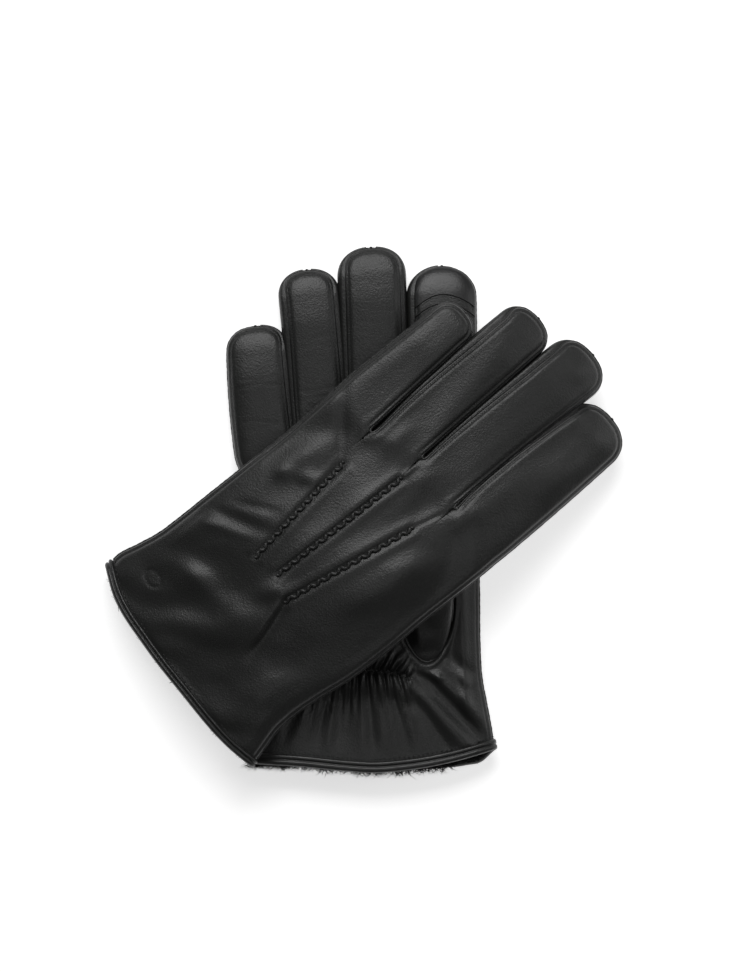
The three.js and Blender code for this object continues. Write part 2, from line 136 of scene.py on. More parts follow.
# ---- The two gloves --------------------------------------------------------------------------------------------
class Finger:
    """One finger's plan: its middle line from root to tip, bowed a little, and its half widths there."""

    def __init__(self, name, root, tip, root_half, tip_half, fold, bow=0.0, full=0.0, blunt=TIP_BLUNT):
        self.name, self.fold, self.bow, self.full, self.blunt = name, fold, bow, full, blunt
        self.root, self.tip = np.array(root, float), np.array(tip, float)
        self.root_half, self.tip_half = root_half, tip_half
        self.length = float(np.hypot(*(self.tip - self.root)))
        self.axis = (self.tip - self.root) / self.length
        self.round = TIP_ROUND * tip_half
        self.straight = self.length - self.round

    def arch(self, s):
        t = np.clip(s / self.length, 0, 1)
        return 4 * t * (1 - t)

    def plan(self, x, s):
        x = x + self.bow * self.arch(s)
        return (self.root[0] + self.axis[1] * x + self.axis[0] * s,
                self.root[1] - self.axis[0] * x + self.axis[1] * s)

    def local(self, u, v):
        du, dv = u - self.root[0], v - self.root[1]
        s = du * self.axis[0] + dv * self.axis[1]
        return du * self.axis[1] - dv * self.axis[0] - self.bow * self.arch(s), s

    def past(self, s):
        """How far into the rounded tip a station is, from 0 to 1."""
        return np.clip((s - self.straight) / self.round, 0, 1)

    def half(self, s):
        taper = self.root_half + (self.tip_half - self.root_half) * np.clip(s / self.straight, 0, 1)
        return (taper + self.full * self.arch(s)) * (1 - self.past(s) ** self.blunt) ** (1 / self.blunt)


class Glove:
    """One glove's plan and where it lies."""

    def __init__(self, side, fingers, pinky_edge, index_edge, cuffs):
        self.side = side
        self.fingers = [Finger(name, *row) for name, row in zip(FINGER_NAMES, fingers)]
        self.pinky_edge, self.index_edge, self.cuffs = pinky_edge, index_edge, cuffs
        self.left = side == "left"
        self.body = "left_glove" if self.left else "root"

    def edges(self, v):
        return through(v, HAND_V, self.pinky_edge), through(v, HAND_V, self.index_edge)

    def cuff(self, u, face):
        return through(u, *self.cuffs[face])

    def crotch(self, i):
        """The crotch between finger i and the next one."""
        a, b = self.fingers[i], self.fingers[i + 1]
        u = (a.root[0] + a.root_half + b.root[0] - b.root_half) / 2
        return np.array([u, KNUCKLE_V - 1.5 - KNUCKLE_BEND * (u - KNUCKLE_U) ** 2])

    def place(self, u, v, w):
        """Points of the glove frame in the world, in millimetres."""
        u, v, w = np.broadcast_arrays(np.asarray(u, float), v, w)
        if not self.left:
            return np.stack([RIGHT_AT[0] + u, RIGHT_AT[1] + v, REST_W + w], -1)
        x, y = left_plan(u, v)
        return np.stack([RIGHT_AT[0] + x, RIGHT_AT[1] + y, left_underside(x, y) + REST_W - w], -1)


def left_plan(u, v):
    """A place of the left glove's plan, in the right glove's frame."""
    c, s = math.cos(LEFT_TURN), math.sin(LEFT_TURN)
    return LEFT_AT[0] + c * u - s * v, LEFT_AT[1] + s * u + c * v


def left_underside(x, y):
    """How high the left glove's underside lies over a place of the right glove's frame."""
    away = (x - DOME["at"][0]) ** 2 + (y - DOME["at"][1]) ** 2
    dome = DOME["height"] * np.exp(-away / (2 * DOME["spread"] ** 2))
    past = np.maximum(0, np.abs(x - DROOP["middle"]) - DROOP["half"])
    return 2 * REST_W + STACK_GAP + dome - DROOP["rate"] * past ** DROOP["power"]


POINTS = {"pinky": ((-19, 62), (-29, 124)), "middle": ((-6, 65), (-6.2, 141)), "index": ((6, 60), (16, 131))}
low, high = (np.array(corner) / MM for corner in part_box("right_back_point_middle"))
RIGHT_AT = (low + high)[:2] / 2 - np.mean(POINTS["middle"], axis=0)

LEFT = Glove(
    "left",
    [((-46.6, 144), (-50.2, 213.0), 13.6, 11.4, 14),
     ((-20.2, 150), (-26.7, 239.2), 12.5, 13.1, 17, -0.8, 0.9),
     ((6.5, 154), (3.2, 249.6), 13.8, 15.5, 13, -1.2, 0.3),
     ((37.2, 150), (33.3, 238.1), 16.5, 15.9, 16, -1.3, 1.9)],
    [-58.2, -59.5, -60.6, -58.8, -56.8, -56.5, -56.7, -56.9, -57.2, -58.8, -60.2, -60.2],
    [59, 58, 56, 53.2, 52.3, 53.0, 54.8, 55.0, 54.0, 53.9, 53.6, 53.2],
    {"back": ([-60, -46, -18, 10, 44, 60], [2.4, -2.9, -5.5, -5.1, -3.0, 0.3]),
     "palm": ([-60, -46, -18, 10, 44, 60], [2.4, -2.5, -4.7, -4.3, -2.4, 0.3])})
RIGHT = Glove(
    "right",
    [((-49.8, 144), (-55.9, 214.8), 14.8, 14.2, 14, -1.0, 0.5),
     ((-22.6, 150), (-31.0, 241.9), 12.8, 13.7, 17, 0.0, 0.3, 2.2),
     ((5.2, 154), (0.0, 252.7), 14.8, 15.4, 13, -0.8, 0.4, 2.25),
     ((36.0, 150), (34.2, 243.8), 15.8, 16.3, 16, 0.0, 0.2, 2.0)],
    [-59, -59.5, -60, -59, -57.5, -57, -57, -57.5, -58.5, -61.5, -64.3, -66],
    [59.6, 59.6, 59.6, 58.4, 56.2, 53.8, 52.8, 52.6, 52.0, 51.6, 51.4, 51.4],
    {"back": ([-60, -30, 0, 30, 46, 54, 60], [4.6, 2.4, 0.4, 1.5, 3.2, 5.4, 11.5]),
     "palm": ([-60, -35, -11, 1, 13, 37, 52, 60], [4.8, 3.6, 1.3, 0.6, 1.4, 5.3, 9.2, 11.5])})
GLOVES = (RIGHT, LEFT)


THUMB_BELOW = 2.5  # where a thumb's root starts
THUMB_BLUNT = 1.75


class Thumb(Finger):
    """A thumb's plan: rounded at its root too, where it is set into the palm."""

    def __init__(self, tip, root_half, oval, sewn):
        super().__init__("thumb", (27, 55), tip, root_half, 11.6, 0)
        self.oval, self.sewn = oval, sewn

    def half(self, s):
        root = np.clip((self.oval - s) / (self.oval + THUMB_BELOW), 0, 1)
        return super().half(np.maximum(s, 0)) * (1 - root**THUMB_BLUNT) ** (1 / THUMB_BLUNT)

    def rim(self):
        """The seam round the thumb's root, down one side and up the other, as plan points."""
        down = -THUMB_BELOW + (self.sewn + THUMB_BELOW) * np.linspace(1, 0, 60) ** 2
        a = self.half(down)
        left, right = self.plan(-a, down), self.plan(a[::-1], down[::-1])
        return np.stack([np.concatenate(pair) for pair in zip(left, right)], -1)


# Tip, half width at the root, where the root's oval is widest, and how far up the thumb its seam runs.
THUMBS = {"right": Thumb((24, 122), 16.0, 34.0, 34.0), "left": Thumb((-10, 107), 13.6, 25.0, 27.0)}


def thumb_seam(glove, u, v):
    """The palm's turned edge and groove around the thumb's root, and the leather drawn in above it."""
    rim = THUMBS[glove.side].rim()
    near = (u > 0) & (u < 56) & (v > 38) & (v < 98)
    rise = np.zeros_like(u)
    d = distances(np.stack([u[near], v[near]], -1), rim)
    x, s = THUMBS[glove.side].local(u[near], v[near])
    within = np.abs(x) < THUMBS[glove.side].half(s)
    d = np.where(within, -d, d)
    lip = 0.95 * np.exp(-(((d - 1.6) / 0.9) ** 2)) - 1.2 * smooth(d, 0.9, -0.9)
    sewn = THUMBS[glove.side].sewn
    rise[near] = lip * smooth(s, sewn + 6, sewn - 4)
    return rise


# ---- Relief of the leather -------------------------------------------------------------------------------------
def tucks(u, v):
    """The leather is pulled down on both sides of each point, and swells beyond."""
    rise = 0.0
    for start, end in POINTS.values():
        t, side = beside(u, v, start, end)
        fade = smooth(t, -0.03, 0.03) * smooth(t, 1.03, 0.97)
        rise = rise - 0.6 * fade * np.exp(-(np.maximum(np.abs(side) - 0.8, 0) / 1.0) ** 2)
        rise = rise + 0.35 * fade * np.exp(-((np.abs(side) - 3.6) / 2.0) ** 2)
    return rise


def fold(u, v, start, end, height, width, ease=0.15):
    """A straight fold from start to end, fading out at both ends: a ridge of this height, or a valley below 0."""
    t, side = beside(u, v, start, end)
    return height * smooth(t, -ease, ease) * smooth(t, 1 + ease, 1 - ease) * np.exp(-((side / width) ** 2))


def held(rise, deepest=1.7):
    """The same relief, kept from sinking into the lining."""
    return np.where(rise < 0, -deepest * np.tanh(-rise / deepest), rise)


# Soft mounds and hollows of the left glove's back, where the wrist and the knuckles have worn it: centre, half
# lengths along and aside, turn in degrees, height.
LEFT_MOUNDS = (
    ((-43.5, 111), (11, 4.0), 80, 1.1), ((-43, 98), (3.4, 2.4), 60, 0.9), ((-33, 106), (4, 2.6), 40, 0.9),
    ((-29, 118), (8, 3.4), 100, -1.0), ((-36, 92), (10, 5), 80, -1.2),
    ((-48, 49), (9, 4.4), 75, 1.6), ((-27, 46), (9, 6), 20, -1.6), ((-15, 46), (7, 5), 60, -1.0),
    ((-31, 33), (6.5, 4.2), 40, 1.9), ((-20, 24), (8, 4), 60, -1.0), ((-2, 35), (9, 4.2), 62, 1.9),
    ((-9, 18), (12, 4), 40, 0.8), ((9, 20), (12, 4.5), 70, -1.5), ((20, 12), (10, 4), 35, -1.2),
    ((36, 26), (11, 5.2), 78, 2.2), ((47, 24), (12, 4), 86, 0.9), ((28, 46), (12, 5), 70, -1.3),
    ((27, 92), (13, 5), 76, 1.5), ((29, 116), (9, 4.5), 70, 1.4), ((43, 80), (34, 6), 86, -1.5),
    ((9, 105), (13, 4.4), 76, 0.8), ((-9, 93), (14, 4), 82, 0.8),
    ((-9, 118), (9, 4), 84, 0.8), ((0, 147), (5, 3.2), 80, 1.1), ((11, 141), (9, 3.4), 84, -1.3),
    ((-22, 150), (7, 3), 100, 0.9), ((26, 152), (8, 3.4), 88, 1.2), ((-1, 60), (5, 3), 70, 1.8),
)


def relief_left_back(u, v):
    """Soft folds, dents beside the points and the pressed oval on the left glove's back, outwards in mm."""
    rise = 0.45 * ripples(u, v, 4, 34) * smooth(v, 150, 100)
    rise += 0.35 * ripples(u, v, 9, 17) * smooth(v, 75, 15)
    for centre, size, turn, height in LEFT_MOUNDS:
        rise += height * bump_at(u, v, centre, size, turn)
    rise += fold(u, v, (-58, 146), (-31, 123), -0.9, 3.0, 0.3)
    rise += fold(u, v, (-52, 58), (-26, 74), -1.0, 3.4, 0.4) + fold(u, v, (-50, 52), (-28, 66), 0.4, 2.6, 0.4)
    rise += fold(u, v, (-44, 72), (-30, 84), -0.5, 2.6, 0.4)
    # The crease that runs on from the index point towards the cuff, and the ridge before it.
    rise += (fold(u, v, (4.2, 60), (12.5, 36), 1.5, 2.4, 0.25)
             + fold(u, v, (7.6, 60), (17, 33), -1.5, 2.2, 0.25))
    rise += tucks(u, v)
    t, side = beside(u, v, POINTS["middle"][1], (-7.2, 151))
    rise += 0.8 * smooth(t, -0.2, 0.2) * smooth(t, 1.1, 0.7) * np.exp(-(side / 1.3) ** 2)
    t, side = beside(u, v, POINTS["index"][1], (19.5, 148))
    rise -= 0.5 * smooth(t, -0.2, 0.1) * smooth(t, 1.2, 0.6) * np.exp(-(side / 1.0) ** 2)
    # A plain oval ring pressed into the leather by the cuff.
    ring = np.hypot((u + 41) / 4.6, (v - 17) / 3.4)
    rise -= 0.45 * np.exp(-((ring - 1) / 0.16) ** 2)
    return held(rise)


FINGER_MOUNDS = {  # on the left glove's fingers: centre, half lengths along and aside, turn in degrees, height
    "pinky": (((-44, 194), (14, 4.6), 94, 0.5), ((-47, 172), (14, 5), 94, -0.3)),
    "ring": (((-14, 172), (12, 4.4), 105, 0.8), ((-22, 203), (13, 4.6), 105, 0.8), ((-29, 182), (14, 4), 98, -0.4)),
    "middle": (((5, 240), (6, 4), 90, 0.9), ((10, 190), (24, 5), 92, 0.4)),
    "index": (((40, 200), (10, 6), 88, 1.3), ((27, 214), (14, 4), 88, -0.9), ((30, 168), (16, 4), 90, 0.7),
              ((33, 227), (6, 9), 88, 1.2)),
}


GATHER_V, GATHER_FALL = 49.0, 0.010  # the elastic's line across the palm, and how it falls to the index side
GATHER_PITCH = 3.8


def gather_line(u):
    return GATHER_V - GATHER_FALL * np.maximum(u, 0) ** 2


def relief_palm(u, v):
    """The gathers over the wrist elastic and the folds around the thumb, outwards in mm."""
    rise = 0.30 * ripples(u, v, 21, 36) * smooth(v, 150, 90)
    dv = v - gather_line(u)
    span = smooth(u, -44, -34) * smooth(u, 22, 17)
    fan = (u + 6) / (1 + 0.014 * np.abs(dv)) + 0.4 * np.sin(0.7 * u) - 0.3 * np.maximum(dv, 0)
    phase = 2 * math.pi * fan / GATHER_PITCH + np.where(dv > 0, math.pi, 0)
    pleat = 2.0 * np.abs(np.sin(phase / 2)) ** 0.8 - 1.15
    reach = np.where(dv > 0, 8.0, 11.0 + 6.0 * np.sin(2.1 * fan))
    envelope = np.exp(-((np.abs(dv) / reach) ** 2.2))
    rise += 2.4 * span * envelope * pleat * smooth(np.abs(dv), -1.2, 0.9)
    rise -= span * 1.5 * np.exp(-((dv / 1.0) ** 2))
    rise += span * 1.9 * np.exp(-(((np.abs(dv) - 6) / 5.5) ** 2))
    # Broad valleys fan out from the gathers towards the cuff.
    wide = np.cos(2 * math.pi * (u + 6) / (8.6 * (1 + 0.02 * np.abs(dv))) + 0.8 * np.sin(0.3 * u))
    rise += 0.55 * smooth(u, -50, -30) * smooth(u, 30, 12) * smooth(v, 6, 20) * smooth(v, 48, 34) * wide
    # Long folds from the thumb's root to the cuff's corner, and the light ridge along the index side.
    for start, end, height, width in (((24, 47), (56, 13), -2.6, 3.0), ((22, 40), (50, 9), 1.3, 3.4),
                                      ((31, 47), (56, 24), 1.6, 3.6), ((20, 36), (38, 10), -1.2, 3.0),
                                      ((36, 56), (50, 47), -0.9, 3.0), ((34, 52), (48, 42), 0.6, 2.4),
                                      ((43.5, 96), (46.5, 28), 1.5, 3.0), ((37.5, 92), (38, 52), -1.2, 2.6),
                                      ((22, 50), (34, 45), 1.3, 1.9), ((21, 46), (31, 38), 0.8, 1.7)):
        rise += fold(u, v, start, end, height, width)
    return held(rise, 2.1)


def relief(glove, face, u, v):
    """The relief of a hand panel, outwards in mm."""
    if glove.left and face == "back":
        return relief_left_back(u, v)
    if face == "palm":
        return relief_palm(u, v) + thumb_seam(glove, u, v)
    return 0.3 * ripples(u, v, 50, 40) + tucks(u, v)


def creases(finger, s, q, seed):
    """Faint creases across the palm side of a finger's joints."""
    rng = np.random.default_rng(seed)
    rise = 0.0
    for place in (0.30, 0.33, 0.36, 0.60, 0.64):
        at = finger.length * (place + rng.uniform(-0.01, 0.01))
        bend = rng.uniform(-1.5, 1.5)
        depth = rng.uniform(0.04, 0.11)
        rise = rise - depth * np.exp(-((s - at - bend * q * q + 0.8 * np.sin(4 * q + at)) / 0.7) ** 2) * (1 - q**4)
    return rise


# ---- Panels ----------------------------------------------------------------------------------------------------
INSET = {  # how far a finger's panel stops short of its outline on the pinky and index side, where a strip shows
    ("left", "back"): (3.1, 0.6), ("left", "palm"): (1.0, 2.0),
    ("right", "back"): (1.4, 1.4), ("right", "palm"): (2.3, 1.6),
}
OUTER_INSET = 0.2  # the same along the hand's own edges
SLOT_HALF = 0.8  # half the opening between two fingers, just past their crotch
STRIP_HALF = 4.0  # half the width of the side strips
CROTCH_RAISED = 1.9  # and how much wider they are at each crotch


def across(glove, face):
    """How many faces a panel has across a finger."""
    return ACROSS_UP if (face == "palm") != glove.left else ACROSS_DOWN


def outer_side(i, q):
    """Whether q lies on a side of finger i that faces no other finger."""
    return ((i == 0) & (q < 0)) | ((i == 3) & (q > 0))


def inset(glove, i, face, q, s):
    """How far a panel stops short of finger i's outline: nothing at the tip, where the panels meet."""
    finger = glove.fingers[i]
    shown = INSET[glove.side, face]
    near_tip = smooth(finger.length - s, 1, 13)
    along = smooth(s, 4, finger.length * 0.75)
    pinky = OUTER_INSET + ((SLOT_HALF + (shown[0] - SLOT_HALF) * along) * near_tip if i > 0 else 0)
    index = OUTER_INSET + ((SLOT_HALF + (shown[1] - SLOT_HALF) * along) * near_tip if i < 3 else 0)
    return np.where(q < 0, pinky, index)


def edge_height(glove, i, q, s):
    """How far a panel's edge lies from the finger's middle plane: the side strip spans what is left."""
    opened = STRIP_HALF * smooth(glove.fingers[i].length - s, 1, 14) + CROTCH_RAISED * smooth(s, 34, 4)
    return np.where(q < 0, SEAM_HALF + (opened if i > 0 else 0), SEAM_HALF + (opened if i < 3 else 0))


def finger_point(glove, i, face, q, s):
    """The panel's face over finger i, at q across it from -1 to 1 and s along it, as (x across, w)."""
    finger = glove.fingers[i]
    x = q * np.maximum(finger.half(s) - inset(glove, i, face, q, s), 0)
    fall = (1 - finger.past(s) ** 2) ** 0.55 * (1 - 0.25 * smooth(s, finger.length - 28, finger.length - 4))
    blunt = np.where(outer_side(i, q), 4.0 - 1.2 * smooth(s, 5, 40), 7.5 - 4.5 * smooth(s, 2, 42))
    crown = np.clip(1 - np.abs(q) ** blunt, 0, 1) ** (1 / 2.3)
    edge = edge_height(glove, i, q, s)
    height = edge * fall + (FINGER_HALF - edge) * crown * fall
    if face == "palm":
        return x, FINGER_MID + height + creases(finger, s, q, 31 + i)
    return x, FINGER_MID - height


def finger_rows(finger, start):
    """Stations along a finger, closer together where the tip rounds off."""
    straight = np.linspace(start, finger.straight, FINGER_ROWS, endpoint=False)
    turn = np.linspace(0, math.pi / 2, TIP_ROWS + 1)
    return np.concatenate([straight, finger.straight + finger.round * np.sin(turn)])[:, None]


def finger_grid(glove, i, face):
    """The panel over finger i, with the crotch row first and the tip last: arrays of u, v and w, the stations
    along the finger, and the share of the hand's relief that the crotch row carries."""
    finger = glove.fingers[i]
    ends = []
    for side, sign in ((0, -1), (1, 1)):
        if (i, side) in ((0, 0), (3, 1)):
            v = glove.crotch(0 if side == 0 else 2)[1] - (1.0 if side == 0 else 6.0)
            ends.append(np.array([glove.edges(v)[side] - sign * OUTER_INSET, v]))
        else:
            ends.append(glove.crotch(i - 1 + side))
    q = -np.cos(np.linspace(0, math.pi, across(glove, face) + 1))[None, :]
    t = (q + 1) / 2
    row_u = ends[0][0] * (1 - t) + ends[1][0] * t
    row_v = ends[0][1] * (1 - t) + ends[1][1] * t + 2.0 * (1 - q**2)
    x0, s0 = finger.local(row_u, row_v)
    s_flat = finger_rows(finger, float(s0.min()))
    ease = smooth(s_flat - s_flat[0], 0, 30)
    s = np.maximum(s_flat * ease + (1 - ease) * (s0 + (s_flat - s_flat[0]) * 0.72), s0)
    s[0] = s0
    s = np.maximum.accumulate(s, axis=0)
    x_body, w = finger_point(glove, i, face, q, s)
    from_row = s - s0
    corner = np.sqrt(1 - (1 - np.clip(from_row / 2.6, 0, 1)) ** 2)
    slot = ~outer_side(i, q)
    mix = np.where(slot & (np.abs(q) > 0.97), corner, smooth(from_row, 0, 14))
    mix = np.maximum(mix, corner * np.abs(q) ** 8 * slot)
    u, v = finger.plan(x0 * (1 - mix) + x_body * mix, s)
    sign = 1 if face == "palm" else -1
    inner = 1 - q**4
    w = w + sign * relief(glove, face, u, v) * inner * smooth(from_row, 22, 6)
    if glove.left and face == "back":
        calm = inner * smooth(from_row, 0, 8) * smooth(finger.length - s, 0.5, 7)
        for centre, size, turn, height in FINGER_MOUNDS[finger.name]:
            w = w - height * calm * bump_at(u, v, centre, size, turn)
    return u, v, w, s, np.broadcast_to(inner, u.shape)


def hand_grid(glove, face, first_row):
    """The panel over the hand: rows from the cuff to first_row, the fingers' joined crotch rows."""
    ru, rv, rw, near = first_row
    k = np.linspace(0, 1, len(ru))
    spread = 0.55 * k + 0.45 * (0.5 - 0.5 * np.cos(math.pi * k))
    t = np.linspace(0, 1, HAND_ROWS + 1)[:-1, None]
    f_top = (ru - ru[0]) / (ru[-1] - ru[0])
    settle = smooth(t, 0.25, 1.0)
    f = spread[None, :] * (1 - settle) + f_top[None, :] * settle
    u = -58 + 116 * f
    for _ in range(3):
        v = (glove.cuff(u, face) + 1.6) * (1 - t) + rv[None, :] * t
        pinky, index = glove.edges(v)
        u = pinky + OUTER_INSET + f * (index - pinky - 2 * OUTER_INSET)
    x = 2 * f - 1
    sign = 1 if face == "palm" else -1
    rw = rw - sign * relief(glove, face, ru, rv) * near
    reach = 15 + 28 * smooth(np.abs(2 * f_top - 1), 0.6, 0.97)
    blend = smooth((v - rv[None, :]) / reach[None, :], -1, 0) ** 2
    w = (HAND_MID + sign * hand_height(x)) * (1 - blend) + rw[None, :] * blend
    calm = smooth(1 - np.abs(x), 0, 0.16) * smooth(t, 0.0, 0.03)
    above = smooth(rv[None, :] - v, 0, 11)
    calm = calm * above + near[None, :] * (1 - above)
    return u, v, w + sign * relief(glove, face, u, v) * calm


SEAM_IN = 1.65  # from a panel's edge to its line of stitches


def seam_relief(d):
    """The sewn edge d mm in from a panel's outline: a turned lip, the groove of the stitches, and a soft swell."""
    groove = 0.20 * np.exp(-(((d - SEAM_IN) / 0.45) ** 2))
    return 0.10 * np.exp(-(((d - 0.75) / 0.40) ** 2)) - groove + 0.10 * np.exp(-(((d - 3.4) / 1.4) ** 2))


def panel(glove, face):
    """All of one panel: its points (u, v, w), and the grids of point numbers over the hand and each finger."""
    fingers = [finger_grid(glove, i, face) for i in range(4)]
    row = [np.concatenate([fingers[0][k][0]] + [g[k][0][1:] for g in fingers[1:]]) for k in (0, 1, 2, 4)]
    hand = hand_grid(glove, face, row)
    columns = len(row[0])
    ids = np.arange((HAND_ROWS + 1) * columns).reshape(HAND_ROWS + 1, columns)
    grids = {"hand": ids}
    points = [np.stack([np.concatenate([h.ravel(), r]) for h, r in zip(hand, row[:3])], -1)]
    total = len(points[0])
    for i, g in enumerate(fingers):
        rows, width = g[0].shape
        own = np.zeros((rows, width), int)
        own[0] = HAND_ROWS * columns + i * (width - 1) + np.arange(width)
        body = np.stack([c[1:-1] for c in g[:3]], -1).reshape(-1, 3)
        own[1:-1] = total + np.arange(len(body)).reshape(rows - 2, width)
        own[-1] = total + len(body)
        points += [body, np.array([[c[-1].mean() for c in g[:3]]])]
        total += len(body) + 1
        grids[FINGER_NAMES[i]] = own
    return np.concatenate(points), grids


def outline(grids):
    """A panel's edge apart from the cuff, as runs of point numbers: up the hand, round each finger, and down."""
    runs = {"pinky_side": grids["hand"][:, 0], "index_side": grids["hand"][::-1, -1]}
    for name in FINGER_NAMES:
        runs[name] = np.concatenate([grids[name][:, 0], grids[name][-2::-1, -1]])
    return runs


def resample(path, step):
    """The same path with points step apart."""
    run = np.concatenate([[0], np.cumsum(np.linalg.norm(np.diff(path, axis=0), axis=1))])
    places = np.linspace(0, run[-1], max(2, int(round(run[-1] / step)) + 1))
    return np.stack([np.interp(places, run, path[:, k]) for k in range(path.shape[1])], -1)


def distances(points, path):
    """The distance in plan from each point to a path."""
    fine = resample(path[:, :2], 0.25)
    tree = kdtree.KDTree(len(fine))
    for k, (x, y) in enumerate(fine):
        tree.insert((x, y, 0), k)
    tree.balance()
    return np.array([tree.find((p[0], p[1], 0))[2] for p in points])


def quads(ids, flip):
    a, b, c, d = ids[:-1, :-1], ids[:-1, 1:], ids[1:, 1:], ids[1:, :-1]
    faces = np.stack([a, b, c, d], -1).reshape(-1, 4)
    return faces[:, ::-1] if flip else faces


def normals_of(points, faces):
    p = points[faces]
    cross = np.cross(p[:, 2] - p[:, 0], p[:, 3] - p[:, 1])
    total = np.zeros_like(points)
    for k in range(4):
        np.add.at(total, faces[:, k], cross)
    return total / np.maximum(np.linalg.norm(total, axis=1, keepdims=True), 1e-12)


# ---- Mesh making -----------------------------------------------------------------------------------------------
def new_mesh(name, points_mm, faces, material, loop_normals=None):
    mesh = bpy.data.meshes.new(name)
    faces = [tuple(int(i) for i in f) for f in faces]
    mesh.from_pydata((np.asarray(points_mm) * MM).tolist(), [], faces)
    mesh.polygons.foreach_set("use_smooth", np.ones(len(mesh.polygons), bool))
    mesh.materials.append(material)
    if loop_normals is not None:
        mesh.normals_split_custom_set(loop_normals.tolist())
    mesh.update()
    obj = bpy.data.objects.new(name, mesh)
    bpy.context.collection.objects.link(obj)
    return obj


def tidy_quads(faces):
    """Faces as lists, without the repeated corner that a grid has at a fingertip."""
    out = []
    for f in faces:
        kept = [f[k] for k in range(len(f)) if f[k] != f[k - 1]]
        if len(kept) > 2:
            out.append(kept)
    return out


def shell_piece(name, points, normals, faces, thickness, material):
    """A closed sheet: the given faces outside, a copy moved in by thickness, and a rim around every open edge."""
    used, local = np.unique(faces, return_inverse=True)
    local = local.reshape(faces.shape)
    outer, n = points[used], normals[used]
    count = len(used)
    inner = outer - n * thickness
    edges = {}
    for f in local:
        for k in range(4):
            a, b = int(f[k - 1]), int(f[k])
            if a != b:
                edges[(a, b)] = edges.get((a, b), 0) + 1
    rim = [(b, a, a + count, b + count) for a, b in edges if (b, a) not in edges]
    outside = tidy_quads(local.tolist())
    inside = [[i + count for i in reversed(f)] for f in outside]
    all_faces = outside + inside + rim
    loops = [n[i] for f in outside for i in f] + [-n[i - count] for f in inside for i in f]
    both = np.concatenate([outer, inner])
    for a, b, c, d in rim:
        side = np.cross(both[b] - both[a], both[d] - both[a])
        side = side / max(np.linalg.norm(side), 1e-12)
        loops += [side] * 4
    return new_mesh(name, both, all_faces, material, np.array(loops))


def tube(path, radius, sides=8):
    """Points and faces of a round tube along a path; radius may vary along it."""
    path = np.asarray(path, float)
    radius = np.broadcast_to(np.asarray(radius, float), len(path))
    tangent = np.concatenate([path[1:], path[-1:]]) - np.concatenate([path[:1], path[:-1]])
    tangent /= np.maximum(np.linalg.norm(tangent, axis=1, keepdims=True), 1e-9)
    up = np.array([0.0, 0.0, 1.0])
    aside = np.cross(tangent, up)
    aside /= np.maximum(np.linalg.norm(aside, axis=1, keepdims=True), 1e-9)
    over = np.cross(aside, tangent)
    angle = np.arange(sides) * 2 * math.pi / sides
    ring = (path[:, None] + radius[:, None, None] * (np.cos(angle)[None, :, None] * aside[:, None]
            + np.sin(angle)[None, :, None] * over[:, None]))
    faces = [f[::-1] for f in ring_faces(len(path), sides)]
    return ring.reshape(-1, 3), faces


def ring_faces(rows, sides, closed_profile=False):
    """Faces of a skin over rows of rings, with an end face at both ends or the last ring joined to the first."""
    faces = []
    for r in range(rows if closed_profile else rows - 1):
        r2 = (r + 1) % rows
        for k in range(sides):
            k2 = (k + 1) % sides
            faces.append((r * sides + k, r * sides + k2, r2 * sides + k2, r2 * sides + k))
    if not closed_profile:
        faces.append(tuple(reversed(range(sides))))
        faces.append(tuple(range((rows - 1) * sides, rows * sides)))
    return faces


def join(parts):
    """Several (points, faces) pairs as one."""
    points, faces, offset = [], [], 0
    for p, f in parts:
        points.append(p)
        faces += [tuple(i + offset for i in face) for face in f]
        offset += len(p)
    return np.concatenate(points), faces


def stitches(path, up, pitch, length, radius, lean=0.0, lift=0.15):
    """Small thread stitches along a path lying on a surface whose normals are up."""
    path, up = np.asarray(path, float), np.asarray(up, float)
    step = np.linalg.norm(np.diff(path, axis=0), axis=1)
    run = np.concatenate([[0], np.cumsum(step)])
    places = np.arange(pitch / 2, run[-1], pitch)
    centre = np.stack([np.interp(places, run, path[:, k]) for k in range(3)], -1)
    normal = np.stack([np.interp(places, run, up[:, k]) for k in range(3)], -1)
    normal /= np.linalg.norm(normal, axis=1, keepdims=True)
    ahead = np.stack([np.interp(places + 0.2, run, path[:, k]) for k in range(3)], -1)
    behind = np.stack([np.interp(places - 0.2, run, path[:, k]) for k in range(3)], -1)
    tangent = ahead - behind
    tangent /= np.maximum(np.linalg.norm(tangent, axis=1, keepdims=True), 1e-9)
    sideways = np.cross(normal, tangent)
    c, s = math.cos(lean), math.sin(lean)
    along = c * tangent + s * sideways
    aside = c * sideways - s * tangent
    shape_t = np.array([-1, -0.78, -0.3, 0.3, 0.78, 1.0])
    shape_r = np.array([0.15, 0.75, 1.0, 1.0, 0.75, 0.15])
    sides = 6
    angle = np.arange(sides) * 2 * math.pi / sides
    parts_p, parts_f = [], []
    rings = len(shape_t)
    base_faces = []
    for r in range(rings - 1):
        for k in range(sides):
            k2 = (k + 1) % sides
            base_faces.append((r * sides + k, (r + 1) * sides + k, (r + 1) * sides + k2, r * sides + k2))
    base_faces.append(tuple(reversed(range(sides))))
    base_faces.append(tuple(range((rings - 1) * sides, rings * sides)))
    base_faces = [tuple(reversed(f)) for f in base_faces]
    for i in range(len(places)):
        ring = (centre[i] + lift * normal[i] + shape_t[:, None, None] * (length / 2) * along[i]
                + radius * shape_r[:, None, None] * (np.cos(angle)[None, :, None] * aside[i]
                + 0.8 * np.sin(angle)[None, :, None] * normal[i]))
        parts_p.append(ring.reshape(-1, 3))
        offset = i * rings * sides
        parts_f += [tuple(k + offset for k in f) for f in base_faces]
    return np.concatenate(parts_p), parts_f


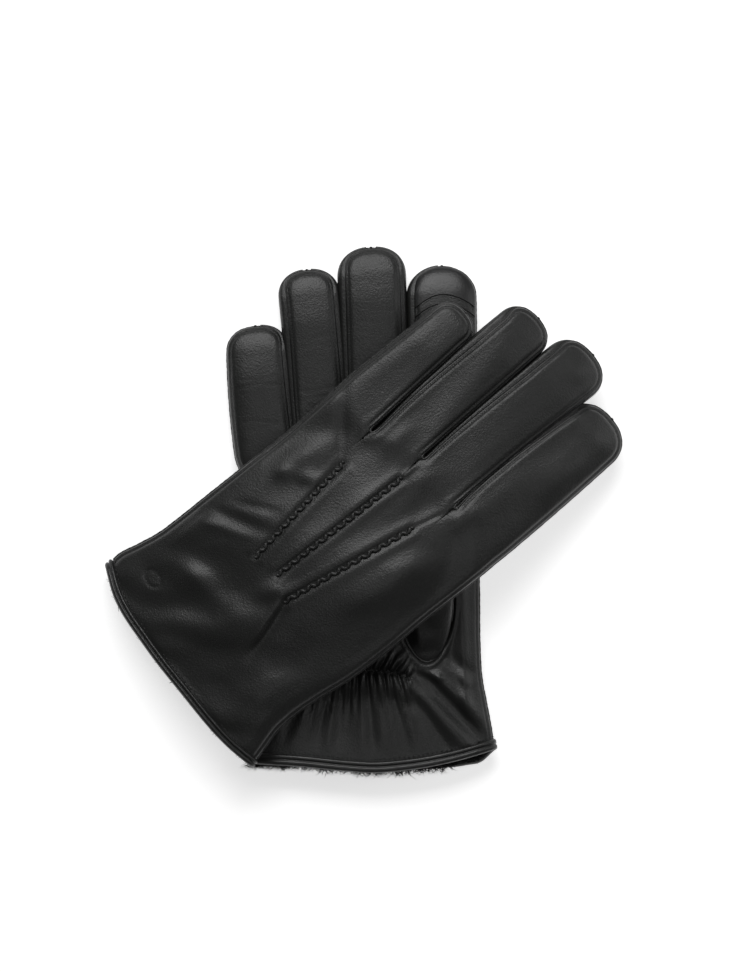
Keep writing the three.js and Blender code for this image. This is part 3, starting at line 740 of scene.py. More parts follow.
# ---- Materials -------------------------------------------------------------------------------------------------
def node(tree, kind, **values):
    made = tree.nodes.new(kind)
    for key, value in values.items():
        if key in made.inputs:
            made.inputs[key].default_value = value
        else:
            setattr(made, key, value)
    return made


def leather(name, color, roughness, grain=1.0):
    """Smooth dyed nappa: a fine pebbled grain in the bump, and a satin finish that varies a little."""
    material = bpy.data.materials.new(name)
    material.use_nodes = True
    tree = material.node_tree
    link = tree.links.new
    shader = tree.nodes["Principled BSDF"]
    shader.inputs["Specular IOR Level"].default_value = 0.5
    shader.inputs["Coat Weight"].default_value = 0.0
    place = node(tree, "ShaderNodeTexCoord").outputs["Object"]
    pebbles = node(tree, "ShaderNodeTexVoronoi", feature="SMOOTH_F1", Scale=1050.0, Smoothness=0.35)
    speckle = node(tree, "ShaderNodeTexNoise", Scale=1150.0, Detail=2.0, Roughness=0.6)
    broad = node(tree, "ShaderNodeTexNoise", Scale=38.0, Detail=4.0)
    mottled = node(tree, "ShaderNodeTexNoise", Scale=120.0, Detail=3.0)
    for texture in (pebbles, speckle, broad, mottled):
        link(place, texture.inputs["Vector"])
    height = node(tree, "ShaderNodeMath", operation="MULTIPLY_ADD")
    height.inputs[1].default_value = -0.55
    link(pebbles.outputs["Distance"], height.inputs[0])
    link(speckle.outputs["Fac"], height.inputs[2])
    bump = node(tree, "ShaderNodeBump", Strength=0.40 * grain, Distance=0.0003)
    link(height.outputs[0], bump.inputs["Height"])
    soft = node(tree, "ShaderNodeBump", Strength=0.15, Distance=0.0012)
    link(mottled.outputs["Fac"], soft.inputs["Height"])
    link(bump.outputs["Normal"], soft.inputs["Normal"])
    link(soft.outputs["Normal"], shader.inputs["Normal"])
    rough = node(tree, "ShaderNodeMapRange")
    rough.inputs["To Min"].default_value = roughness - 0.06
    rough.inputs["To Max"].default_value = roughness + 0.08
    link(broad.outputs["Fac"], rough.inputs["Value"])
    link(rough.outputs["Result"], shader.inputs["Roughness"])
    shade = node(tree, "ShaderNodeMix", data_type="RGBA")
    shade.inputs[6].default_value = (*[c * 0.75 for c in color], 1)
    shade.inputs[7].default_value = (*[c * 1.3 for c in color], 1)
    link(speckle.outputs["Fac"], shade.inputs[0])
    link(shade.outputs[2], shader.inputs["Base Color"])
    return material


def thread(name, color):
    """Waxed sewing thread: a twisted ply in the bump."""
    material = bpy.data.materials.new(name)
    material.use_nodes = True
    tree = material.node_tree
    shader = tree.nodes["Principled BSDF"]
    shader.inputs["Roughness"].default_value = 0.5
    place = node(tree, "ShaderNodeTexCoord").outputs["Object"]
    ply = node(tree, "ShaderNodeTexWave", bands_direction="DIAGONAL", Scale=1500.0, Distortion=1.5)
    tint = node(tree, "ShaderNodeTexNoise", Scale=700.0)
    tree.links.new(place, ply.inputs["Vector"])
    tree.links.new(place, tint.inputs["Vector"])
    shade = node(tree, "ShaderNodeMix", data_type="RGBA")
    shade.inputs[6].default_value = (*[c * 0.7 for c in color], 1)
    shade.inputs[7].default_value = (*[c * 1.4 for c in color], 1)
    tree.links.new(tint.outputs["Fac"], shade.inputs[0])
    tree.links.new(shade.outputs[2], shader.inputs["Base Color"])
    bump = node(tree, "ShaderNodeBump", Strength=0.6, Distance=0.00012)
    tree.links.new(ply.outputs["Fac"], bump.inputs["Height"])
    tree.links.new(bump.outputs["Normal"], shader.inputs["Normal"])
    return material


def pile(name, color):
    """Short dense pile: matt, with sheen at the fibre tips and a clumped bump."""
    material = bpy.data.materials.new(name)
    material.use_nodes = True
    tree = material.node_tree
    shader = tree.nodes["Principled BSDF"]
    shader.inputs["Roughness"].default_value = 0.95
    shader.inputs["Specular IOR Level"].default_value = 0.15
    shader.inputs["Sheen Weight"].default_value = 0.04
    shader.inputs["Sheen Roughness"].default_value = 0.6
    place = node(tree, "ShaderNodeTexCoord").outputs["Object"]
    clumps = node(tree, "ShaderNodeTexNoise", Scale=900.0, Detail=6.0, Roughness=0.7)
    tree.links.new(place, clumps.inputs["Vector"])
    shade = node(tree, "ShaderNodeMix", data_type="RGBA")
    shade.inputs[6].default_value = (*[c * 0.5 for c in color], 1)
    shade.inputs[7].default_value = (*[c * 1.8 for c in color], 1)
    tree.links.new(clumps.outputs["Fac"], shade.inputs[0])
    tree.links.new(shade.outputs[2], shader.inputs["Base Color"])
    bump = node(tree, "ShaderNodeBump", Strength=0.9, Distance=0.0008)
    tree.links.new(clumps.outputs["Fac"], bump.inputs["Height"])
    tree.links.new(bump.outputs["Normal"], shader.inputs["Normal"])
    return material


LEATHER_LOOK = leather("nappa_leather", (0.0092, 0.0096, 0.0091), 0.42)
BINDING_LOOK = leather("binding_leather", (0.0105, 0.0109, 0.0105), 0.35, 0.8)
TOUCH_LOOK = leather("touch_leather", (0.0082, 0.0084, 0.0088), 0.38, 0.6)
THREAD_LOOK = thread("sewing_thread", (0.010, 0.010, 0.010))
ELASTIC_LOOK = thread("ribbed_elastic", (0.02, 0.02, 0.02))
PILE_LOOK = pile("pile_lining", (0.006, 0.006, 0.0062))


# ---- Placing pieces on the frame -------------------------------------------------------------------------------
FOLD_BEFORE, FOLD_AFTER = 12.0, 14.0  # a span from this far before a finger's fold to this far past it; the side strips are cut where it starts


def attach(obj, glove, finger=None, nodes=()):
    """Lets a piece ride with its glove; a piece on one of the left glove's fingers only has its placement baked
    into its mesh.
    """
    if glove.left and finger is not None:
        u, v = finger.plan(0, np.array([finger.fold - FOLD_BEFORE, finger.fold + FOLD_AFTER]))
        start, end = glove.place(u, v, 0.0) * MM
        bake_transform(obj)
    else:
        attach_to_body(obj, glove.body)
    if nodes:
        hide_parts(*[f"{glove.side}_{name}" for name in nodes])
    return obj


class Surface:
    """A finished panel, to lay seams, stitches and tucks on."""

    def __init__(self, glove, face, world, faces, normals, grids):
        self.glove, self.world, self.faces, self.normals, self.grids = glove, world, faces, normals, grids
        self.tree = bvhtree.BVHTree.FromPolygons(world.tolist(), tidy_quads(faces.tolist()))
        self.corners = tidy_quads(faces.tolist())
        self.up = 1.0 if (face == "palm") != glove.left else -1.0

    def rise(self, d):
        """A step of d mm off the panel."""
        return np.array([0.0, 0.0, self.up * d])

    def land(self, u, v):
        """Points on the panel over plan places, and the normals there."""
        spots = self.glove.place(u, v, 0.0)
        points, ups = [], []
        for x, y, z in spots:
            hit, _, number, _ = self.tree.ray_cast((x, y, z + self.up * 60), (0, 0, -self.up), 90)
            if hit is None:
                hit, _, number, _ = self.tree.find_nearest((x, y, z + self.up * 5))
            ring = self.corners[number]
            near = np.array([1 / (1e-3 + math.dist(hit, self.world[k])) for k in ring])
            normal = near @ self.normals[ring]
            points.append(tuple(hit))
            ups.append(normal / np.linalg.norm(normal))
        return np.array(points), np.array(ups)


def inward(path, d):
    """A plan path moved d to its right, with its corners kept round."""
    ahead = np.gradient(path, axis=0)
    ahead /= np.maximum(np.linalg.norm(ahead, axis=1, keepdims=True), 1e-9)
    return path + d * np.stack([ahead[:, 1], -ahead[:, 0]], -1)


def build_panels(glove, face):
    """The back or palm leather of one glove, cut at the crotch row on the glove whose fingers fold."""
    points, grids = panel(glove, face)
    flip = (face == "back") != glove.left
    faces = {key: quads(ids, flip) for key, ids in grids.items()}
    every = np.concatenate(list(faces.values()))
    edge = outline(grids)
    rim = [points[ids] for ids in edge.values()]
    d = np.min([distances(points, path) for path in rim], axis=0)
    world = glove.place(*points.T)
    cuff = smooth(points[:, 1] - glove.cuff(points[:, 0], face), 2.5, 6)
    for i in range(3):
        cuff = cuff * smooth(np.hypot(*(points[:, :2] - glove.crotch(i)).T), 1.5, 6)
    sewn = seam_relief(d) * smooth(d, 0, 0.5) * cuff * (2.1 if glove.left else 1.1)
    world = world + normals_of(world, every) * sewn[:, None]
    normals = normals_of(world, every)
    if glove.left:
        for finger in glove.fingers:
            name = f"left_{finger.name}_{face}_skin"
            obj = shell_piece(name, world, normals, faces[finger.name], LEATHER, LEATHER_LOOK)
            attach(obj, glove, finger, nodes=[f"{finger.name}_finger_{face}"])
        every_hand = faces["hand"]
    else:
        every_hand = every
    obj = shell_piece(f"{glove.side}_{face}_skin", world, normals, every_hand, LEATHER, LEATHER_LOOK)
    attach(obj, glove, nodes=[f"{face}_leather"])
    surface = Surface(glove, face, world, every, normals, grids)
    surface.edge = {name: points[ids] for name, ids in edge.items()}
    surface.edge_ids = edge
    return surface


# ---- Side strips between the panels ----------------------------------------------------------------------------
def strip_grid(glove, i, side):
    """The side strip of finger i: a grid from the back panel's edge, out to the outline, to the palm panel's."""
    finger = glove.fingers[i]
    column = 0 if side == 0 else -1
    sign = -1 if side == 0 else 1
    edges = []
    for face in ("back", "palm"):
        u, v, w, s, _ = finger_grid(glove, i, face)
        edges.append(np.stack([u[:-1, column], v[:-1, column], w[:-1, column]], -1))
    s = s[:-1, column]
    outwards = np.array([finger.axis[1], -finger.axis[0], 0.0]) * sign
    turn = np.linspace(0, math.pi, 13)[None, :, None]
    share = (1 - np.cos(turn)) / 2
    chord = edges[0][:, None] * (1 - share) + edges[1][:, None] * share
    reach = [np.abs(finger.local(e[:, 0], e[:, 1])[0]) for e in edges]
    out = np.maximum(finger.half(s)[:, None] - (reach[0][:, None] * (1 - share[..., 0])
                     + reach[1][:, None] * share[..., 0]), 0)
    grid = chord + ((out + 0.25) * np.sin(turn[..., 0]) ** 0.7)[..., None] * outwards
    # The edges tuck under the panels.
    for k, e in ((0, 0), (-1, 1)):
        grid[:, k] = edges[e] - outwards * 0.5
    return grid, s


def build_strips(glove):
    """The fourchettes: a strip on each finger's sides that face another finger, joined by a fork at the crotch."""
    for i in range(3):
        a, b = glove.fingers[i], glove.fingers[i + 1]
        pieces = []
        for number, side, finger in ((i, 1, a), (i + 1, 0, b)):
            grid, s = strip_grid(glove, number, side)
            pieces.append((finger, side, grid, s))
        fork = []
        for finger, side, grid, s in pieces:
            cut = int(np.searchsorted(s, finger.fold - FOLD_BEFORE)) if glove.left else len(s)
            if cut < len(s):
                name = f"left_{finger.name}_{'pinky' if side == 0 else 'index'}_side_strip_skin"
                node_name = f"{finger.name}_finger_{'pinky' if side == 0 else 'index'}_side_strip"
                obj = grid_piece(name, glove, grid[cut - 1:], LEATHER_LOOK, finger)
                attach(obj, glove, finger, nodes=[node_name])
            fork.append(grid[:cut] if side == 0 else grid[:cut][::-1])
        joined = np.concatenate([fork[0], fork[1][1:]])
        obj = grid_piece(f"{glove.side}_fourchette_{a.name}_{b.name}_skin", glove, joined, LEATHER_LOOK)
        attach(obj, glove, nodes=[f"fourchette_{a.name}_{b.name}"])


def grid_piece(name, glove, grid, material, finger=None, thickness=0.8):
    """A closed sheet from one grid of glove points. Its outer side faces away from the finger it wraps or, without
    a finger, from the bottom of the fork."""
    rows, columns = grid.shape[:2]
    world = glove.place(*grid.reshape(-1, 3).T)
    ids = np.arange(rows * columns).reshape(rows, columns)
    faces = quads(ids, False)
    normals = normals_of(world, faces)
    middle = columns // 2
    if finger is not None:
        u, v = finger.plan(0, finger.local(grid[:, middle, 0], grid[:, middle, 1])[1])
        outward = glove.place(grid[:, middle, 0], grid[:, middle, 1], 0.0) - glove.place(u, v, 0.0)
        keep = slice(None)
    else:
        ends = grid[[0, -1], middle].mean(0)
        bottom = grid[rows // 2, middle]
        outward = glove.place(*ends) - glove.place(*bottom)
        keep = slice(rows // 2 - 3, rows // 2 + 3)
    if np.sum(normals[ids[keep, middle]] * outward) < 0:
        faces = faces[:, ::-1]
    return shell_piece(name, world, normals_of(world, faces), faces, thickness, material)


# ---- Seams -----------------------------------------------------------------------------------------------------
CROTCH_ROWS = 9  # the bead round a crotch takes in this many rows of both fingers


def build_seams(glove, face, surface):
    """The turned edge of every seam, and the small stitches beside it."""
    for run, ids in surface.edge_ids.items():
        finger = next((f for f in glove.fingers if f.name == run), None)
        rim = surface.edge[run]
        if finger is None:
            at_cuff = slice(3, None) if run == "pinky_side" else slice(None, -3)
            rim, ids = rim[at_cuff], ids[at_cuff]
        # A finger's turned edge starts past the bead at its crotch, on each side that has one.
        skip = [CROTCH_ROWS - 2 if finger is not None and run != end else 0 for end in ("pinky", "index")]
        path = resample(surface.world[ids[skip[0]:len(ids) - skip[1]]], 0.8)
        name = f"{glove.side}_{face}_{run}"
        wobble = 0.05 * np.sin(np.arange(len(path)) * 1.7) + 0.04 * np.sin(np.arange(len(path)) * 0.61)
        bead = tube(path, (0.44 if glove.left else 0.36) + wobble, 8)
        attach(new_mesh(f"{name}_turned_edge", *bead, LEATHER_LOOK), glove, finger)
        line = resample(inward(resample(rim[:, :2], 0.8), SEAM_IN), 0.8)
        keep = line[:, 1] > glove.cuff(line[:, 0], face) + 6
        for i in range(3):
            keep &= np.hypot(*(line - glove.crotch(i)).T) > 5
        line = line[keep]
        spots, ups = surface.land(line[:, 0], line[:, 1])
        sewn = stitches(spots, ups, 1.35, 0.95, 0.17 if glove.left else 0.14, lean=0.25, lift=0.0)
        attach(new_mesh(f"{name}_stitches", *sewn, THREAD_LOOK), glove, finger)
        if finger is not None:
            tip = surface.world[ids[len(ids) // 2]]
            knot = ball(tip, 0.75, (1.3, 1.0, 1.1))
            attach(new_mesh(f"{name}_tip_knot", *knot, THREAD_LOOK), glove, finger)


def build_crotch_beads(glove, face, surface):
    """The fourchette's turned edge, round the end of each slot between two fingers."""
    for i in range(3):
        a, b = (surface.grids[f.name] for f in glove.fingers[i:i + 2])
        ids = np.concatenate([a[CROTCH_ROWS:0:-1, -1], b[:CROTCH_ROWS + 1, 0]])
        path = resample(surface.world[ids], 0.4)
        for _ in range(10):
            path[1:-1] = (path[:-2] + path[1:-1] + path[2:]) / 3
        name = f"{glove.side}_{face}_crotch_{glove.fingers[i].name}_{glove.fingers[i + 1].name}_turned_edge"
        ends = np.minimum(np.arange(len(path)), np.arange(len(path))[::-1]) / len(path)
        bead = tube(path + surface.rise(0.15), 0.44 + 0.2 * smooth(ends, 0.1, 0.4), 10)
        attach(new_mesh(name, *bead, LEATHER_LOOK), glove)


def ball(centre, radius, stretch=(1, 1, 1)):
    """A small lumpy ball."""
    rows, columns = 7, 10
    points, faces = [], []
    for r in range(1, rows):
        tilt = math.pi * r / rows
        for k in range(columns):
            turn = 2 * math.pi * k / columns
            size = radius * (1 + 0.12 * math.sin(3 * turn + 2 * tilt))
            points.append([centre[0] + size * stretch[0] * math.sin(tilt) * math.cos(turn),
                           centre[1] + size * stretch[1] * math.sin(tilt) * math.sin(turn),
                           centre[2] + size * stretch[2] * math.cos(tilt)])
    for r in range(rows - 2):
        for k in range(columns):
            k2 = (k + 1) % columns
            faces.append((r * columns + k, (r + 1) * columns + k, (r + 1) * columns + k2, r * columns + k2))
    faces.append(tuple(range(columns)))
    faces.append(tuple(reversed(range((rows - 2) * columns, (rows - 1) * columns))))
    return np.array(points), faces


# ---- Points: the three sewn tucks on the back ------------------------------------------------------------------
TUCK_WAVE, TUCK_SWING = 5.4, 0.74  # the length of one zigzag, and how far it swings to each side


def build_points(glove, surface):
    for name, (start, end) in POINTS.items():
        start, end = np.array(start, float), np.array(end, float)
        length = math.dist(start, end)
        axis = (end - start) / length
        waves = round(length / TUCK_WAVE)
        t = np.linspace(0, 1, waves * 14 + 1)
        phase = 2 * math.pi * waves * t
        from_end = np.minimum(t, 1 - t)
        swing = TUCK_SWING * (np.sin(phase) + 0.12 * np.sin(3 * phase + 0.2)) * smooth(from_end, 0, 0.02)
        plan = start + np.outer(t * length, axis) + np.outer(swing, (axis[1], -axis[0]))
        spots, ups = surface.land(plan[:, 0], plan[:, 1])
        ends = smooth(from_end, -0.004, 0.014)
        radius = (1.06 - 0.36 * np.abs(np.sin(phase)) ** 6) * (0.35 + 0.65 * ends)
        tuck = tube(spots + ups * 0.25, radius, 12)
        attach(new_mesh(f"{glove.side}_{name}_tuck", *tuck, LEATHER_LOOK), glove, nodes=[f"back_point_{name}"])
        threads = []
        for k in range(2 * waves):
            at = (k + 0.5) * 0.5 / waves
            c = int(round(np.interp(at, t, np.arange(len(t)))))
            up = ups[c]
            side = 1 if k % 2 == 0 else -1
            along = spots[min(c + 2, len(t) - 1)] - spots[max(c - 2, 0)]
            along /= np.linalg.norm(along)
            over = np.cross(up, along)
            turn = np.linspace(-1.25, 1.25, 7)
            r = radius[c] + 0.13
            arc = (spots[c] + up * 0.25 + np.outer(np.sin(turn) * r, over) + np.outer(np.cos(turn) * r, up)
                   + np.outer(turn * 0.28 * side, along))
            threads.append(tube(arc, 0.19, 6))
        attach(new_mesh(f"{glove.side}_{name}_tuck_threads", *join(threads), THREAD_LOOK), glove)


# ---- Cuff: hem and lining --------------------------------------------------------------------------------------
def cuff_ring(glove, out, up, count=220):
    """A ring around the cuff, out mm outside the leather and up mm along the hand from its edge."""
    turn = np.linspace(0, 2 * math.pi, count, endpoint=False)
    x = -np.cos(turn)
    palm = turn > math.pi
    u = 58.5 * x
    for _ in range(4):
        v = np.where(palm, glove.cuff(u, "palm"), glove.cuff(u, "back")) + up
        pinky, index = glove.edges(v)
        u = (pinky + index) / 2 + (index - pinky) / 2 * x
    w = HAND_MID + np.where(palm, 1.0, -1.0) * hand_height(x)
    ring = np.stack([u, v, w], -1)
    flat = ring[:, [0, 2]]
    ahead = np.roll(flat, -1, 0) - np.roll(flat, 1, 0)
    ahead /= np.maximum(np.linalg.norm(ahead, axis=1, keepdims=True), 1e-9)
    normal = np.stack([ahead[:, 1], -ahead[:, 0]], -1)
    if np.sum(normal * (flat - flat.mean(0))) < 0:
        normal = -normal
    for _ in range(3):
        normal = (np.roll(normal, 1, 0) + normal + np.roll(normal, -1, 0)) / 3
    normal /= np.linalg.norm(normal, axis=1, keepdims=True)
    ring[:, 0] += out * normal[:, 0]
    ring[:, 2] += out * normal[:, 1]
    return ring


def ring_stack(rings, closed_profile):
    """Points and faces of a skin over rings of equal count; closed_profile joins the last ring to the first."""
    return np.concatenate(rings), ring_faces(len(rings), len(rings[0]), closed_profile)


def closed_piece(name, glove, points, faces, material):
    """A closed mesh from glove points, with its faces turned outwards."""
    world = glove.place(*points.T)
    volume = 0.0
    for f in faces:
        for k in range(1, len(f) - 1):
            volume += np.dot(world[f[0]], np.cross(world[f[k]], world[f[k + 1]]))
    if volume < 0:
        faces = [tuple(reversed(f)) for f in faces]
    return new_mesh(name, world, faces, material)


# The hem's section, as (outwards, along the hand) from the cuff's edge: a rolled bead, a groove and a second bead.
HEM = [(-2.0, 6.0), (-2.3, 4.0), (-2.3, 2.0), (-1.9, 0.6), (-1.0, -0.5), (0.1, -0.9), (1.0, -0.55), (1.5, 0.25),
       (1.55, 1.1), (1.25, 1.75), (0.75, 2.05), (0.72, 2.3), (1.15, 2.6), (1.35, 3.2), (1.25, 3.9), (0.85, 4.4),
       (0.35, 4.6), (-0.2, 4.7), (-1.0, 5.4)]
HEM_SCALE = {"left": 0.8, "right": 1.0}


def build_hem(glove):
    scale = HEM_SCALE[glove.side]
    rings = [cuff_ring(glove, out, up * scale) for out, up in HEM]
    obj = closed_piece(f"{glove.side}_hem", glove, *ring_stack(rings, True), BINDING_LOOK)
    attach(obj, glove, nodes=["cuff_binding"])
    up = 4.7 * scale + 0.9
    ring, above = cuff_ring(glove, 0.15, up, 700), cuff_ring(glove, 1.15, up, 700)
    path, normal = glove.place(*ring.T), glove.place(*above.T) - glove.place(*ring.T)
    sewn = stitches(path, normal, 2.3, 1.5, 0.24, lift=0.05)
    attach(new_mesh(f"{glove.side}_hem_stitches", *sewn, THREAD_LOOK), glove)


def build_lining(glove):
    """The pile lining: a sleeve in the hand that shows at the cuff, a finger tube each, and tufts at the mouth."""
    rng = np.random.default_rng(77 if glove.left else 78)
    count = 200
    outer, inner = ([cuff_ring(glove, out - 1.4 * float(smooth(up, 4, 12)), up, count) for up in ups]
                    for out, ups in ((-1.9, np.linspace(1.8, 118, 40)), (-3.3, np.linspace(118, 1.8, 80))))
    for ring in inner:
        turn = np.arange(count) * 2 * math.pi / count
        fluff = 0.35 * np.sin(9 * turn + rng.uniform(0, 6)) + 0.35 * rng.normal(size=count)
        ring[:, 2] -= np.sign(ring[:, 2] - HAND_MID) * np.clip(fluff, -0.2, 0.9) * 0.8
    obj = closed_piece(f"{glove.side}_lining_sleeve", glove, *ring_stack(outer + inner, True), PILE_LOOK)
    attach(obj, glove, nodes=["hand_lining"])
    for finger in glove.fingers:
        rings = []
        tip = finger.straight + (finger.round - 5.2) * np.sin(np.linspace(0.3, 1.45, 5))
        for s in np.concatenate([np.linspace(-6, finger.straight, 14), tip]):
            past = max(0.0, (s - finger.straight) / (finger.round - 5.0))
            rise = 4.4 - 1.6 * float(smooth(s, finger.length - 30, finger.length - 8))
            a = max((float(finger.half(min(s, finger.straight))) - 2.6) * math.sqrt(max(1 - past**2, 0)), 0.8)
            turn = np.arange(16) * 2 * math.pi / 16
            u, v = finger.plan(a * np.cos(turn), s)
            rings.append(np.stack([u, v, FINGER_MID + rise * min(1, a / 5) * np.sin(turn)], -1))
        obj = closed_piece(f"{glove.side}_{finger.name}_lining", glove, *ring_stack(rings, False), PILE_LOOK)
        nodes = [f"{finger.name}_finger_lining"] if glove.left else []
        attach(obj, glove, finger, nodes=nodes)
    attach(tufts(glove, rng), glove)


def tufts(glove, rng):
    """Curly strands of pile that stand out of the cuff's mouth."""
    strands = []
    count = 1700
    base = cuff_ring(glove, -2.9, 1.5, count)
    for k in range(count):
        u, v, w = base[k] + rng.normal(size=3) * (0.5, 0.6, 0.35)
        clump = 0.5 + 0.5 * math.sin(0.55 * u + 1.3 * math.sin(0.23 * u))
        length = rng.uniform(3.0, 4.6) + 1.6 * clump
        length *= 0.4 if glove.left else 1 - 0.88 * smooth(u, 33, 44)
        lean = rng.normal(size=2) * 0.35
        bend = rng.normal(size=2) * 0.5
        steps = np.linspace(0, 1, 4)
        path = np.stack([u + length * (lean[0] * steps + bend[0] * steps**2), v - length * steps * 0.85,
                         w + length * (lean[1] * steps + bend[1] * steps**2) * 0.6], -1)
        strands.append(tube(glove.place(*path.T), 0.26 * (1.15 - steps), 3))
    return new_mesh(f"{glove.side}_cuff_pile", *join(strands), PILE_LOOK)


# ---- Thumb, touch pads and elastic -----------------------------------------------------------------------------
THUMB_LOW = ([-3, 12, 20, 32, 200], [5.5, 4.5, 5.5, 8.9, 8.9])  # stations along a thumb, and its underside there
THUMB_HIGH = ([-3, 0, 4, 9, 22, 34, 200], [7.0, 8.4, 9.4, 11.0, 15.4, 17.7, 17.9])  # and its upper side


def thumb_rings(glove, shrink, count=48):
    """Rings of the thumb from its root to its tip, shrink mm inside its leather."""
    thumb = THUMBS[glove.side]
    start, length = -THUMB_BELOW, thumb.length
    ease = np.sin(np.linspace(-0.5 * math.pi, 0.5 * math.pi, 90))
    stations = start + (length - start) * (0.5 + 0.35 * ease + 0.15 * np.linspace(-1, 1, 90))
    stations = np.clip(stations, start + 0.03, length - 0.03)
    rings = []
    for s in stations:
        a = max(float(thumb.half(s)) - shrink, 0.15)
        turn = np.arange(count) * 2 * math.pi / count
        c, n = np.cos(turn), np.sin(turn)
        aside = a * np.sign(c) * np.abs(c) ** 0.85
        past = float(thumb.past(s))
        low, high = (float(through(s, *heights)) for heights in (THUMB_LOW, THUMB_HIGH))
        mid = (low + high) / 2
        half = max((high - low) / 2 * (1 - past**2) ** 0.42 - shrink, 0.15)
        u, v = thumb.plan(aside, s)
        w = mid + half * np.sign(n) * np.abs(n) ** 0.62
        if not shrink:
            folds = 2.2 * bump_at(u, v, (22.6, 70), (12, 1.5), 97)
            folds -= 2.4 * bump_at(u, v, (17.6, 66), (10, 2.2), 101)
            folds += 0.9 * bump_at(u, v, (30, 70), (14, 4), 80) + 0.35 * ripples(u, v, 91, 16)
            w = w + np.where(n > 0, folds, 0) * smooth(s, 2, 10) * smooth(past, 1, 0.4)
        top = left_underside(*(left_plan(u, v) if glove.left else (u, v))) - REST_W - STACK_GAP
        rings.append(np.stack([u, v, np.minimum(w, np.maximum(top, mid + 0.2) - shrink)], -1))
    return rings


def build_thumb(glove, palm):
    outer = thumb_rings(glove, 0.0)
    obj = closed_piece(f"{glove.side}_thumb_skin", glove, *ring_stack(outer, False), LEATHER_LOOK)
    attach(obj, glove, nodes=["thumb_leather"])
    rings = thumb_rings(glove, 1.6, 16)[12:-10:3]
    obj = closed_piece(f"{glove.side}_thumb_lining_skin", glove, *ring_stack(rings, False), PILE_LOOK)
    attach(obj, glove, nodes=["thumb_lining"])
    rim = resample(THUMBS[glove.side].rim(), 0.8)
    spots, ups = palm.land(*inward(rim, -0.35).T)
    bead = tube(spots + ups * 0.2, 0.75, 10)
    attach(new_mesh(f"{glove.side}_thumb_turned_edge", *bead, LEATHER_LOOK), glove)
    spots, ups = palm.land(*inward(rim, -1.9).T)
    sewn = stitches(spots, ups, 1.5, 1.0, 0.17, lean=0.25, lift=0.03)
    attach(new_mesh(f"{glove.side}_thumb_stitches", *sewn, THREAD_LOOK), glove)
    # A welt down each side of the thumb, where its two leathers meet.
    for end, place in (("index", 0), ("pinky", len(outer[0]) // 2)):
        path = resample(glove.place(*np.array([ring[place] for ring in outer[30:84]]).T), 0.8)
        attach(new_mesh(f"{glove.side}_thumb_{end}_welt", *tube(path, 0.45, 8), LEATHER_LOOK), glove)


PAD_LENGTH, PAD_ARCH = 13.5, 7.0  # the touch pad's length at its middle, and how far its arch falls to the sides
PAD_COLUMNS = 37


def pad_sheet(glove, start, end, proud, cover):
    """A sheet proud of the index fingertip's palm side, between two arches start and end back from its tip."""
    finger = glove.fingers[3]
    q = np.linspace(-cover, cover, PAD_COLUMNS)[None, :]
    t = np.linspace(0, 1, 26)[:, None]
    near = finger.length - start - PAD_ARCH * q**2
    far = finger.length - end - PAD_ARCH * q**2 * (end > 1)
    s = near * (1 - t) + far * t
    x, w = finger_point(glove, 3, "palm", np.broadcast_to(q, s.shape), s)
    u, v = finger.plan(x, s)
    world = glove.place(*np.stack([u, v, w], -1).reshape(-1, 3).T)
    faces = quads(np.arange(s.size).reshape(s.shape), glove.left)
    normals = normals_of(world, faces)
    return world + normals * proud, normals, faces


def build_touch_pad(glove):
    finger = glove.fingers[3]
    world, normals, faces = pad_sheet(glove, PAD_LENGTH, 0.4, 0.45, 0.93)
    obj = shell_piece(f"{glove.side}_index_pad_skin", world, normals, faces, 1.0, TOUCH_LOOK)
    attach(obj, glove, finger, nodes=["index_touch_pad"])
    for number, (back, size) in enumerate(((PAD_LENGTH + 0.1, 0.48), (PAD_LENGTH + 4.6, 0.42))):
        world, _, _ = pad_sheet(glove, back, back - 1, 0.1, 0.95)
        bead = tube(resample(world[:PAD_COLUMNS], 0.7), size, 8)
        attach(new_mesh(f"{glove.side}_index_pad_edge_{number + 1}", *bead, LEATHER_LOOK), glove, finger)
        world, normals, _ = pad_sheet(glove, back + 1.3, back, 0.02, 0.93)
        sewn = stitches(world[:PAD_COLUMNS], normals[:PAD_COLUMNS], 1.4, 0.95, 0.16, lean=0.2, lift=0.05)
        name = f"{glove.side}_index_pad_stitches_{number + 1}"
        attach(new_mesh(name, *sewn, THREAD_LOOK), glove, finger)


ELASTIC_DEPTH = 3.6  # from the palm's outside to the middle of the elastic's ribs


def build_elastic(glove, palm):
    """The shirred elastic: a ribbed band under the palm's gathers, and the thread that holds them."""
    u = np.linspace(-38, 12, 120)[None, :]
    v = np.linspace(45, 53, 9)[:, None]
    u, v = np.broadcast_arrays(u, v)
    pinky, index = glove.edges(v)
    x = 2 * (u - pinky) / (index - pinky) - 1
    w = HAND_MID + hand_height(x) - ELASTIC_DEPTH + 0.15 * np.sin(u * 4)
    world = glove.place(*np.stack([u, v, w], -1).reshape(-1, 3).T)
    faces = quads(np.arange(u.size).reshape(u.shape), glove.left)
    obj = shell_piece(f"{glove.side}_elastic_band", world, normals_of(world, faces), faces, 0.6, ELASTIC_LOOK)
    attach(obj, glove, nodes=["wrist_elastic"])
    line_u = np.linspace(-36, 19, 120)
    line_v = gather_line(line_u)
    for number, shift in enumerate((-0.9, 0.9)):
        spots, ups = palm.land(line_u, line_v + shift)
        sewn = stitches(spots, ups, 1.9, 1.3, 0.2, lift=0.08)
        name = f"{glove.side}_gather_stitches_{number + 1}"
        attach(new_mesh(name, *sewn, THREAD_LOOK), glove)


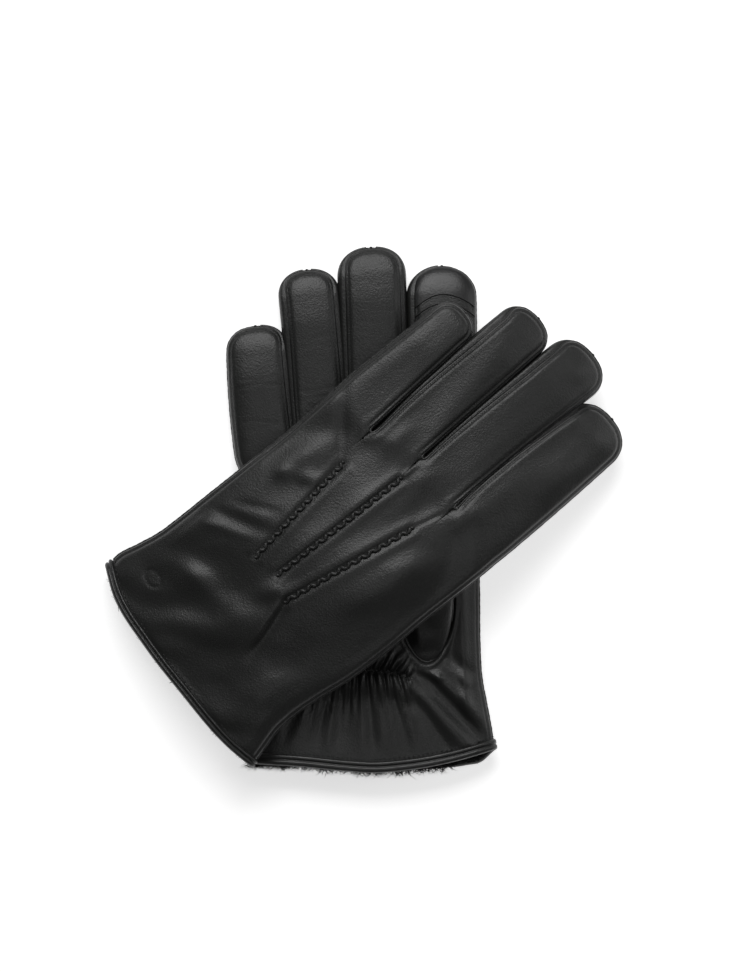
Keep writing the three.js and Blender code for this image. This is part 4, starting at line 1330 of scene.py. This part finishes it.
for glove in GLOVES:
    surfaces = {face: build_panels(glove, face) for face in ("back", "palm")}
    build_strips(glove)
    for face, surface in surfaces.items():
        build_seams(glove, face, surface)
        build_crotch_beads(glove, face, surface)
    build_points(glove, surfaces["back"])
    build_hem(glove)
    build_lining(glove)
    build_thumb(glove, surfaces["palm"])
    build_touch_pad(glove)
    build_elastic(glove, surfaces["palm"])

# ---- Stage, light and camera -----------------------------------------------------------------------------------
def area_light(name, place, aim, size, power):
    data = bpy.data.lights.new(name, "AREA")
    data.shape = "RECTANGLE"
    data.size, data.size_y = size
    data.energy = power
    obj = bpy.data.objects.new(name, data)
    bpy.context.collection.objects.link(obj)
    obj.location = place
    obj.rotation_euler = (Vector(aim) - Vector(place)).to_track_quat("-Z", "Y").to_euler()


def stage():
    mesh = bpy.data.meshes.new("floor")
    mesh.from_pydata([(-3, -3, 0), (3, -3, 0), (3, 3, 0), (-3, 3, 0)], [], [(0, 1, 2, 3)])
    floor = bpy.data.objects.new("floor", mesh)
    bpy.context.collection.objects.link(floor)
    material = bpy.data.materials.new("pale_floor")
    material.use_nodes = True
    shader = material.node_tree.nodes["Principled BSDF"]
    shader.inputs["Base Color"].default_value = (0.92, 0.92, 0.92, 1)
    shader.inputs["Roughness"].default_value = 0.9
    shader.inputs["Specular IOR Level"].default_value = 0.0
    shader.inputs["Emission Color"].default_value = (1, 1, 1, 1)
    shader.inputs["Emission Strength"].default_value = 0.6
    mesh.materials.append(material)
    world = bpy.data.worlds.new("studio")
    world.use_nodes = True
    world.node_tree.nodes["Background"].inputs["Color"].default_value = (1, 1, 1, 1)
    world.node_tree.nodes["Background"].inputs["Strength"].default_value = 0.085
    bpy.context.scene.world = world
    area_light("key_softbox", (-0.12, 1.05, 1.20), (0, 0, 0.02), (1.2, 0.7), 16)
    area_light("side_softbox", (1.0, 0.25, 0.6), (0, 0, 0.02), (0.5, 0.9), 2)
    area_light("overhead_softbox", (0.15, -0.35, 2.1), (0, 0, 0.02), (0.9, 0.9), 3)


FRAME_HEIGHT = 0.46656  # what the view covers from top to bottom, in metres
VIEW_CENTRE = (0.001, 0.0118)
CAMERA_HEIGHT = 1.8


def camera():
    data = bpy.data.cameras.new("camera")
    data.sensor_fit = "VERTICAL"
    data.sensor_height = 24
    data.lens = 24 * (CAMERA_HEIGHT - 0.02) / FRAME_HEIGHT
    obj = bpy.data.objects.new("camera", data)
    bpy.context.collection.objects.link(obj)
    obj.location = (*VIEW_CENTRE, CAMERA_HEIGHT)
    bpy.context.scene.camera = obj


stage()
camera()
bpy.context.scene.view_settings.view_transform = "Standard"
